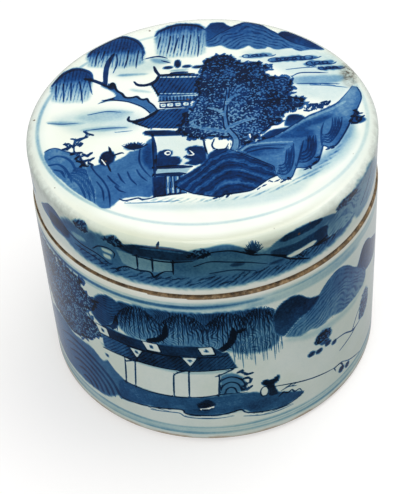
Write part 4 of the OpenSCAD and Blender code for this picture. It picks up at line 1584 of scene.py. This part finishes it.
@dataclass(frozen=True)
class PaintedGlaze:
    """Clear glaze over cobalt, with bare clay, kiln specks, an old brown stain that also paints the shade in
    the seam's gap, and a cream tint that also paints shade on the cover's front, where the mesh says so.
    """

    paper: Colour = (243, 247, 238)
    milk: Colour = (232, 236, 220)
    # A cream tint, which on the cover's front also stands as painted shade that tones the lamp-lit shoulder
    # and side down.
    age: Colour = (226, 227, 215)
    # A brown stain, which on the body's ledge also stands as painted shade in the gap under the cover's rim.
    stain_and_shade: Colour = (74, 62, 50)
    speck: Colour = (92, 68, 46)
    iron: float = 0.07
    gloss: float = 0.09
    full_load: float = 3.2

    def stops(self) -> list[tuple[float, Colour]]:
        """Lists the cobalt's colours.

        Returns:
            The loads, as shares of the full load, and their colours.
        """
        tones = [(0.0, self.paper), (0.3, (186, 212, 214)), (0.6, (122, 165, 191)), (1.0, (57, 109, 161)),
            (1.5, (12, 68, 129)), (2.0, (0, 42, 94)), (2.6, (0, 24, 60)), (3.2, (0, 12, 34))]
        return [(load / self.full_load, tone) for load, tone in tones]

    def make(self) -> bpy.types.Material:
        """Builds the material.

        Returns:
            The material.
        """
        material = bpy.data.materials.new("painted_glaze")
        g = Graph(material)
        place = g.put("TexCoord", {}, "Object")
        feeds = {"Place": place, **{titled(name): g.field(name) for name in Panel.FIELDS}}
        cobalt = g.put("Group", feeds, "Cobalt", node_tree=brushwork_group())
        tone = g.ramp(g.math("DIVIDE", cobalt, self.full_load, clamp=True), self.stops())
        dulled = g.field("dulled")
        hue, vivid = g.scaled(dulled, -0.02, 0.5), g.scaled(dulled, -self.iron, 1.0)
        colour = g.put("HueSaturation", {"Hue": hue, "Saturation": vivid, "Color": tone})
        cloud = g.band(g.noise(place, 45, 3), 0.35, 0.7, 0.0, 0.35)
        colour = g.blend(cloud, colour, shade(*self.milk), "MULTIPLY")
        # Cream tint on the cover's shoulder and side, strongest at the front, where it is also painted shade.
        colour = g.blend(g.field("cream_and_front_shade"), colour, shade(*self.age), "MULTIPLY")
        colour = g.blend(self.specks(g, place), colour, shade(*self.speck))
        bare = g.field("bare")
        colour = g.blend(bare, colour, self.clay(g, place))
        patchy = g.band(g.noise(place, 520, 4, 0.7), 0.32, 0.66, 0.15, 1.0)
        # Brown stain, partly painted shade: on the ledge under the cover's rim it darkens the clay where the
        # gap is shaded.
        colour = g.blend(g.product(g.field("stain_and_shade"), patchy), colour, shade(*self.stain_and_shade))
        rough = g.math("MAXIMUM", g.scaled(g.noise(place, 260, 3), 0.08, self.gloss), g.product(bare, 0.8))
        grit = g.product(g.noise(place, 2400, 3, 0.7), g.scaled(bare, 0.5, 0.02))
        normal = g.bump(g.scaled(g.noise(place, 90, 2), 1.0, grit), 0.35, 0.0004)
        shader = g.put("BsdfPrincipled", {"Base Color": colour, "Roughness": rough,
            "Specular IOR Level": 0.24, "Normal": normal})
        g.add("OutputMaterial", {"Surface": shader})
        return material

    def clay(self, g: Graph, place: Socket) -> Socket:
        """Colours the bare clay, brown at the seam and pale elsewhere.

        Args:
            g: the material's graph.
            place: the place on the piece.

        Returns:
            The clay's colour.
        """
        brown = [(0.25, (128, 98, 64)), (0.52, (168, 140, 102)), (0.8, (208, 192, 164))]
        pale = [(0.3, (176, 160, 138)), (0.7, (208, 198, 182))]
        first, second = g.noise(place, 700, 4, 0.7), g.noise(place, 900, 4, 0.7)
        return g.blend(g.field("pale_clay"), g.ramp(first, brown), g.ramp(second, pale))

    def specks(self, g: Graph, place: Socket) -> Socket:
        """Scatters small kiln specks, denser where the mesh says pitted.

        Args:
            g: the material's graph.
            place: the place on the piece.

        Returns:
            How much of the speck's colour shows.
        """
        cells = g.add("TexVoronoi", {"Vector": place, "Scale": 300})
        chance = g.add("SeparateColor", {0: cells.outputs["Color"]}).outputs
        lit = g.math("GREATER_THAN", chance[0], g.scaled(g.field("pitted"), -0.16, 0.985))
        size = g.scaled(chance[1], 0.08, 0.045)
        dot = g.band(g.past(cells.outputs["Distance"], size), -0.02, 0.03, 1.0, 0.0)
        return g.product(dot, lit, 0.8)


@dataclass(frozen=True)
class RedPaste:
    """Oily vermilion paste with fibres kneaded into it."""

    shadow: Colour = (142, 18, 12)
    colour: Colour = (196, 38, 22)
    shine: Colour = (222, 66, 40)

    def make(self) -> bpy.types.Material:
        """Builds the material.

        Returns:
            The material.
        """
        material = bpy.data.materials.new("red_paste")
        g = Graph(material)
        place = g.put("TexCoord", {}, "Object")
        fibres = g.noise(g.stretched(place, 1.0, 5.0, 3.0), 260, 6, 0.72)
        lumps = g.noise(place, 130, 5, 0.65)
        mixed = g.scaled(fibres, 0.55, g.product(lumps, 0.45))
        colour = g.ramp(mixed, [(0.34, self.shadow), (0.52, self.colour), (0.70, self.shine)])
        shader = g.put("BsdfPrincipled", {"Base Color": colour, "Roughness": g.scaled(lumps, 0.4, 0.22),
            "Normal": g.bump(mixed, 0.7, 0.0012)})
        g.add("OutputMaterial", {"Surface": shader})
        return material


class Decorator:
    """Lays out the panels of a painted piece, brushes them and stores the fields."""

    SHIFT = 0.5
    STRETCH = 1.014

    def __init__(self, piece: Thing) -> None:
        """Takes a thrown piece.

        Args:
            piece: the piece.
        """
        self.piece = piece
        self.spots = places(piece)
        self.span = np.hypot(self.spots[:, 0], self.spots[:, 1])
        self.high = self.spots[:, 2]
        self.round = GIRTH * np.arctan2(self.spots[:, 0], -self.spots[:, 1])
        self.across = (self.round + self.SHIFT) / self.STRETCH
        names = (*Panel.FIELDS, "bare", "pale_clay", "stain_and_shade", "cream_and_front_shade", "pitted", "dulled")
        self.fields = {name: np.full(len(self.spots), Panel.START.get(name, 0.0)) for name in names}

    def brush(self, chosen: Array, across: Array, up: Array, scene: type[Scene]) -> None:
        """Brushes one scene on the chosen vertices.

        Args:
            chosen: which vertices.
            across: every vertex's place across the scene, mm.
            up: every vertex's place up the scene, mm.
            scene: what is brushed.
        """
        panel = Panel(across[chosen], up[chosen])
        scene(panel).run()
        for name, amount in panel.values.items():
            self.fields[name][chosen] = amount

    def store(self) -> None:
        """Writes the fields to the mesh."""
        for name, amount in self.fields.items():
            layer = self.piece.data.attributes.new(name, "FLOAT", "POINT")
            layer.data.foreach_set("value", amount.astype(np.float32))


@dataclass
class Body:
    """The turned body: bare foot ring, straight wall, bare ledge, gallery and deep well."""

    radius: float = 49.9
    draw_in: float = 0.35
    lean: float = 0.7
    wall_rows: int = 107
    foot_bevel: float = 1.6
    foot_width: float = 5.0
    foot_recess: float = 1.8
    foot_join: Point = (0.6, 1.4)
    base_sag: float = 0.5
    base_fillet: float = 1.4
    ledge: float = 62.6
    ledge_round: float = 0.7
    ledge_slope: float = 0.4
    ledge_join: Point = (48.5, 47.2)
    flange_radius: float = 45.7
    flange_thick: float = 2.2
    flange_high: float = 5.5
    flange_round: float = 0.8
    root_round: float = 0.35
    neck: float = 7.0
    well_radius: float = 45.0
    floor: float = 6.8
    cove: float = 8.0
    columns: int = 720
    inner_columns: int = 180

    def outside(self) -> list[Point]:
        """Draws the profile from the foot ring up to the ledge.

        Returns:
            Its points.
        """
        foot, count = self.radius - self.foot_bevel, self.wall_rows
        low, high = self.foot_bevel, self.ledge - self.ledge_slope - self.ledge_round
        wall = [(self.radius - self.draw_in * (i / count) ** 2, low + (high - low) * i / count)
            for i in range(1, count)]
        bevel = rows([(foot, 0), (self.radius, self.foot_bevel)], 0.5)
        top = arc((self.radius - self.draw_in - self.ledge_round, high), self.ledge_round, 0, 90, 5)
        return [(foot - self.foot_join[0], 0), *bevel, *wall, *top, (self.ledge_join[0], self.ledge)]

    def inside(self) -> list[Point]:
        """Draws the profile from the ledge over the flange and down the well to the middle of the floor.

        Returns:
            Its points.
        """
        lip, mouth = self.ledge + self.flange_high, self.flange_radius - self.flange_thick
        root, turn = self.root_round, self.flange_round
        low = arc((self.flange_radius + root, self.ledge + root), root, 270, 180, 3)
        outer = arc((self.flange_radius - turn, lip - turn), turn, 0, 90, 4)
        inner = arc((mouth + turn, lip - turn), turn, 90, 180, 4)
        down = [(mouth + (self.well_radius - mouth) * (3 * s * s - 2 * s ** 3),
            self.ledge - root - (self.neck - root) * s) for s in (i / 6 for i in range(7))]
        cove = arc((self.well_radius - self.cove, self.floor + self.cove), self.cove, 0, -90, 10)
        start = (self.ledge_join[1], self.ledge)
        return rows([start, *low, *outer, *inner, *down, *cove, (0, self.floor)], 6.0)

    def underneath(self) -> list[Point]:
        """Draws the profile from the middle of the sagging base out to the foot ring.

        Returns:
            Its points.
        """
        foot = self.radius - self.foot_bevel
        recess = foot - self.foot_width
        flat = recess - self.base_fillet
        steps = [i / 12 for i in range(13)]
        base = [(flat * s, self.foot_recess - self.base_sag * (1 - s * s)) for s in steps]
        step = arc((flat, 0.4), self.base_fillet, 90, 0, 6) + arc((recess + 0.4, 0.4), 0.4, 180, 270, 4)
        return [*base, *step[1:], (foot - self.foot_join[1], 0)]

    def build(self) -> Thing:
        """Throws the body and joins its two finenesses on the foot and on the ledge.

        Returns:
            The piece.
        """
        wheel = Wheel("porcelain_body")
        wheel.throw(self.outside(), self.columns)
        wheel.throw(self.inside(), self.inner_columns)
        wheel.throw(self.underneath(), self.inner_columns)
        wheel.gather()
        foot = self.radius - self.foot_bevel
        wheel.join(*((radius, self.ledge) for radius in self.ledge_join))
        wheel.join(*((foot - inset, 0) for inset in self.foot_join))
        piece = wheel.finish()
        spots = places(piece)
        outer = ease(self.flange_radius + 1, foot - 3, np.hypot(spots[:, 0], spots[:, 1]))
        spots[:, 0] += self.lean * outer * (1 - ease(-20, 40, spots[:, 2])) * 2
        put_places(piece, spots)
        return piece

    def dress(self, piece: Thing) -> None:
        """Paints the body and bares its foot and its ledge.

        Args:
            piece: the thrown body.
        """
        d = Decorator(piece)
        f = d.fields
        wall = (d.span > self.radius - 1.2) & (d.high > 0.4) & (d.high < self.ledge - 0.2)
        d.brush(wall, d.across, 10 + (d.high - 10.5) / 0.978, BodyScene)
        f["wash"] += np.where(wall, 0.13 * (1 - ease(56, 60.5, d.high)), 0)
        f["dulled"] = 1 - 0.85 * ease(14, 46, np.abs(d.round))
        foot = 1 - ease(1.9, 2.5, d.high + 0.35 * ripple(d.round, d.high, 9, 41))
        under = (d.span < self.radius - self.foot_bevel - self.foot_width) & (d.high < self.foot_recess + 0.2)
        bared = 0.6 + 0.4 * ease(-28, 4, d.round)
        ledge = (d.high > self.ledge - bared) & (d.high < self.ledge + 1.0)
        ledge &= d.span > self.flange_radius - 0.2
        lip = d.high > self.ledge + self.flange_high - 0.6
        f["bare"] = np.where(ledge | lip, 1.0, np.where((d.high < 4) & ~under, foot, 0))
        f["pale_clay"] = np.where(lip | (d.high < 10), 1.0, 0.0)
        # On the ledge the stain is full under the cover's rim, as painted shade in the gap, and on the outer
        # round it runs from 0.9 low down to 0.5 at the top.
        edge = 0.5 + 0.4 * (1 - ease(self.ledge - 0.7, self.ledge - 0.2, d.high))
        f["stain_and_shade"] = np.where(ledge, 1.0 - (1.0 - edge) * ease(49.0, 49.3, d.span), 0.0)
        d.store()


@dataclass
class Cover:
    """The turned cover: flat painted top, round shoulder, straight side and a stepped seat inside."""

    radius: float = 49.0
    rim: float = 62.6
    top: float = 81.2
    dome: float = 0.3
    shoulder: float = 3.2
    shoulder_high: float = 2.2
    rim_round: float = 0.6
    rim_join: Point = (47.6, 46.9)
    skirt_radius: float = 46.2
    step: float = 68.8
    hollow_radius: float = 44.8
    ceiling: float = 76.4
    edge_round: float = 0.35
    cove: float = 4.0
    painted_top: float = 47.2
    columns: int = 840
    inner_columns: int = 210

    def outside(self) -> list[Point]:
        """Draws the profile from the rim up over the shoulder to the edge of the top.

        Returns:
            Its points.
        """
        start = arc((self.radius - self.rim_round, self.rim + self.rim_round), self.rim_round, 270, 360, 4)
        squash, crown = self.shoulder_high / self.shoulder, self.top - self.dome
        bend = arc((self.radius - self.shoulder, crown - self.shoulder), self.shoulder, 0, 90, 15)
        shoulder = [(x, crown + (y - crown) * squash) for x, y in bend]
        side = rows([start[-1], shoulder[0]], 0.42)
        return [(self.rim_join[0], self.rim), *start, *side[1:-1], *shoulder]

    def inside(self) -> list[Point]:
        """Draws the profile from the middle of the ceiling down over the step to the rim.

        Returns:
            Its points.
        """
        small = self.edge_round
        cove = arc((self.hollow_radius - self.cove, self.ceiling - self.cove), self.cove, 90, 0, 8)
        step = arc((self.skirt_radius - small, self.step - small), small, 90, 0, 3)
        root = arc((self.skirt_radius + small, self.rim + small), small, 180, 270, 3)
        corner, end = (self.hollow_radius, self.step), (self.rim_join[1], self.rim)
        return rows([(0, self.ceiling), *cove, corner, *step, *root, end], 6.0)

    def build(self) -> Thing:
        """Throws the cover, grids its top and domes it.

        Returns:
            The piece.
        """
        wheel = Wheel("porcelain_cover")
        wheel.throw(self.outside(), self.columns)
        wheel.throw(self.inside(), self.inner_columns)
        wheel.gather()
        wheel.join(*((radius, self.rim) for radius in self.rim_join))
        flat = self.radius - self.shoulder
        wheel.cap((flat, self.top - self.dome), self.columns // 4)
        piece = wheel.finish()
        spots = places(piece)
        span = np.hypot(spots[:, 0], spots[:, 1])
        crown = (spots[:, 2] > self.ceiling + 1) & (span < flat)
        spots[crown, 2] = self.top - self.dome * (span[crown] / flat) ** 2
        put_places(piece, spots)
        return piece

    def dress(self, piece: Thing) -> None:
        """Paints the cover and bares its rim and its seat.

        Args:
            piece: the thrown cover.
        """
        d = Decorator(piece)
        f = d.fields
        x, y = d.spots[:, 0], d.spots[:, 1]
        centre = self.top - self.dome - self.shoulder_high
        inset = np.maximum(d.span - (self.radius - self.shoulder), 1e-6) / self.shoulder
        turn = np.arctan2((d.high - centre) / self.shoulder_high, inset)
        up = np.where(d.high > centre, centre + 0.5 * (self.shoulder + self.shoulder_high) * turn, d.high)
        top = (d.span < self.painted_top) & (d.high > self.ceiling + 1)
        side = (d.span >= self.painted_top) & (d.high > self.rim + 0.8)
        d.brush(side, d.across, 64 + (up - 64.5) / 0.93, CoverSideScene)
        d.brush(top, (x + 0.2) / 1.011, y - 1.3 - (self.top - d.high), TopScene)
        # Glaze pooled pale blue up the side; it is left off the bottom rim as a painted highlight, and
        # thinned on the shoulder.
        glaze_tint_and_rim_highlight = 0.12 * ease(63.6, 66, d.high) * (1 - 0.6 * ease(79, 81, d.high))
        f["wash"] += np.where(side, glaze_tint_and_rim_highlight, 0)
        front = 1 - 0.8 * ease(15, 50, np.abs(d.round))
        f["dulled"] = np.where(side, 1 - 0.5 * ease(78, 80.5, d.high), 0) * front
        rim = (d.high < self.rim + 0.25) | ((d.span < self.radius - 2) & (d.high < self.step + 0.6))
        f["bare"] = np.where(rim, 1.0, 0.0)
        f["pale_clay"] = np.where(d.high > self.rim + 0.3, 1.0, 0.0)
        scar = 1 - ease(0.3, 1.4, np.hypot((x - 43.2) / 2.6, (y - 16.5) / 6.0))
        grime = 0.24 * ease(46.6, 48.2, d.span) * ease(74, 78, d.high) * ease(24, 44, np.abs(d.round))
        f["stain_and_shade"] = np.where(d.high > 70, np.maximum(scar, grime), 0.0)
        # Cream tint on the shoulder and side, strongest at the front, where it also paints shade over the
        # lamp-lit front.
        f["cream_and_front_shade"] = ease(43.6, 47.0, d.span) * ease(66, 74, d.high) * front
        f["pitted"] = np.where(d.span > 44, 1.0, 0.0) * (0.5 + 0.5 * ease(-10, 30, d.round))
        d.store()


@dataclass
class PasteCake:
    """The kneaded cake of red seal paste on the well's floor."""

    radius: float = 43.2
    floor: float = 6.8
    high: float = 21.0
    crown: float = 4.5
    foot_round: float = 7.0
    top_round: float = 6.0
    columns: int = 240

    def build(self) -> Thing:
        """Throws the cake.

        Returns:
            The piece.
        """
        edge, shoulder = self.radius - self.top_round, self.floor + self.high
        foot = arc((self.radius - self.foot_round, self.floor + self.foot_round), self.foot_round, -90, 0, 8)
        top = arc((edge, shoulder - self.top_round), self.top_round, 0, 82, 10)
        crown = [(edge * s, shoulder + self.crown * (1 - s * s)) for s in (1 - i / 60 for i in range(61))]
        wheel = Wheel("paste_cake")
        wheel.throw(rows([(0, self.floor), *foot, *top, *crown], 6.0), self.columns)
        wheel.gather()
        return wheel.finish()

    def dress(self, piece: Thing) -> None:
        """Kneads the cake's top.

        Args:
            piece: the thrown cake.
        """
        spots = places(piece)
        x, y = spots[:, 0], spots[:, 1]
        free = ease(self.floor + 12, self.floor + 20, spots[:, 2])
        spots[:, 2] -= free * (0.5 + 0.35 * ripple(x, y, 16, 5) + 0.12 * ripple(x, y, 4, 6))
        put_places(piece, spots)


@dataclass
class Studio:
    """Camera at the photograph's place, a pale floor and soft lamps."""

    frame_height: int = 494
    sensor: float = 36.0
    focal: float = 1389.0
    distance: float = 421.6
    elevation: float = 45.5
    roll: float = -3.97
    target: tuple[float, float, float] = (-1.4, 0.0, 31.0)
    floor_side: float = 6.0

    def camera(self) -> None:
        """Puts the camera where the photograph was taken from."""
        tilt, turn = math.radians(self.elevation), math.radians(self.roll)
        back = Vector((0, -math.cos(tilt), math.sin(tilt)))
        right = Vector((1, 0, 0))
        up = back.cross(right)
        side = math.cos(turn) * right + math.sin(turn) * up
        head = -math.sin(turn) * right + math.cos(turn) * up
        data = bpy.data.cameras.new("camera")
        data.sensor_width = self.sensor
        data.lens = self.focal * self.sensor / self.frame_height
        data.clip_start = 0.01
        spot = (Vector(self.target) + back * self.distance) * MM
        eye = bpy.data.objects.new("camera", data)
        eye.matrix_world = Matrix.Translation(spot) @ Matrix((side, head, back)).transposed().to_4x4()
        bpy.context.collection.objects.link(eye)
        bpy.context.scene.camera = eye

    def floor(self) -> None:
        """Lays a pale floor that shows white, keeps the shadow and mirrors as a dimmer ground."""
        bpy.ops.object.select_all(action="DESELECT")
        bpy.ops.mesh.primitive_plane_add(size=self.floor_side, location=(0, 0, 0))
        floor = bpy.context.object
        floor.name = "floor"
        material = bpy.data.materials.new("pale_floor")
        g = Graph(material)
        paint = g.put("BsdfDiffuse", {"Color": (0.52, 0.51, 0.497, 1)})
        glow = g.put("Emission", {"Color": (1, 1, 1, 1), "Strength": 0.53})
        spot = g.put("SeparateXYZ", {0: g.put("TexCoord", {}, "Object")}, "Y")
        fading = g.band(spot, -0.07, 0.02, 0.08, 0.6)
        dim = g.put("Emission", {"Color": (0.95, 0.97, 1, 1), "Strength": fading})
        path = g.add("LightPath").outputs
        mirrored = g.either(path["Is Glossy Ray"], paint, dim)
        seen = g.either(path["Is Camera Ray"], mirrored, g.put("AddShader", {0: paint, 1: glow}))
        g.add("OutputMaterial", {"Surface": seen})
        floor.data.materials.append(material)

    def lamp(self, name: str, place: tuple[float, float, float], size: float, power: float) -> None:
        """Hangs one square softbox that faces the box.

        Args:
            name: its name.
            place: where it hangs, in metres.
            size: its side, in metres.
            power: its power, in watts.
        """
        data = bpy.data.lights.new(name, "AREA")
        data.size, data.energy = size, power
        lamp = bpy.data.objects.new(name, data)
        lamp.location = place
        lamp.rotation_euler = (Vector((0, 0, 0.04)) - Vector(place)).to_track_quat("-Z", "Y").to_euler()
        bpy.context.collection.objects.link(lamp)

    def light(self) -> None:
        """Sets the room and hangs the lamps."""
        room = bpy.data.worlds.new("room")
        g = Graph(room)
        glow = g.put("Background", {"Color": (0.98, 0.99, 1, 1), "Strength": 0.36})
        white = g.put("Background", {"Color": (1, 1, 1, 1)})
        g.add("OutputWorld", {"Surface": g.either(g.put("LightPath", {}, "Is Camera Ray"), glow, white)})
        bpy.context.scene.world = room
        self.lamp("softbox_above", (0.24, 0.1, 1.05), 0.7, 8.3)
        self.lamp("softbox_front", (-0.6, -0.9, 0.6), 0.9, 4.1)


def main() -> None:
    """Builds the studio and the three pieces."""
    logging.basicConfig(level=logging.INFO, format="%(name)s: %(message)s")
    bpy.context.scene.view_settings.view_transform = "Standard"
    studio = Studio()
    studio.camera()
    studio.floor()
    studio.light()
    glaze, paste = PaintedGlaze().make(), RedPaste().make()
    for form, rides, node, finish, label in (
            (Body(), "box", "box_base", glaze, "porcelain"),
            (Cover(), "cover", "lid", glaze, "porcelain"),
            (PasteCake(), "box", "seal_paste", paste, "paste")):
        piece = form.build()
        form.dress(piece)
        piece.data.materials.clear()
        piece.data.materials.append(finish)
        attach(piece, rides)
        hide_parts(node)
        LOG.info("%s: %d faces", piece.name, len(piece.data.polygons))


if __name__ == "__main__":
    main()
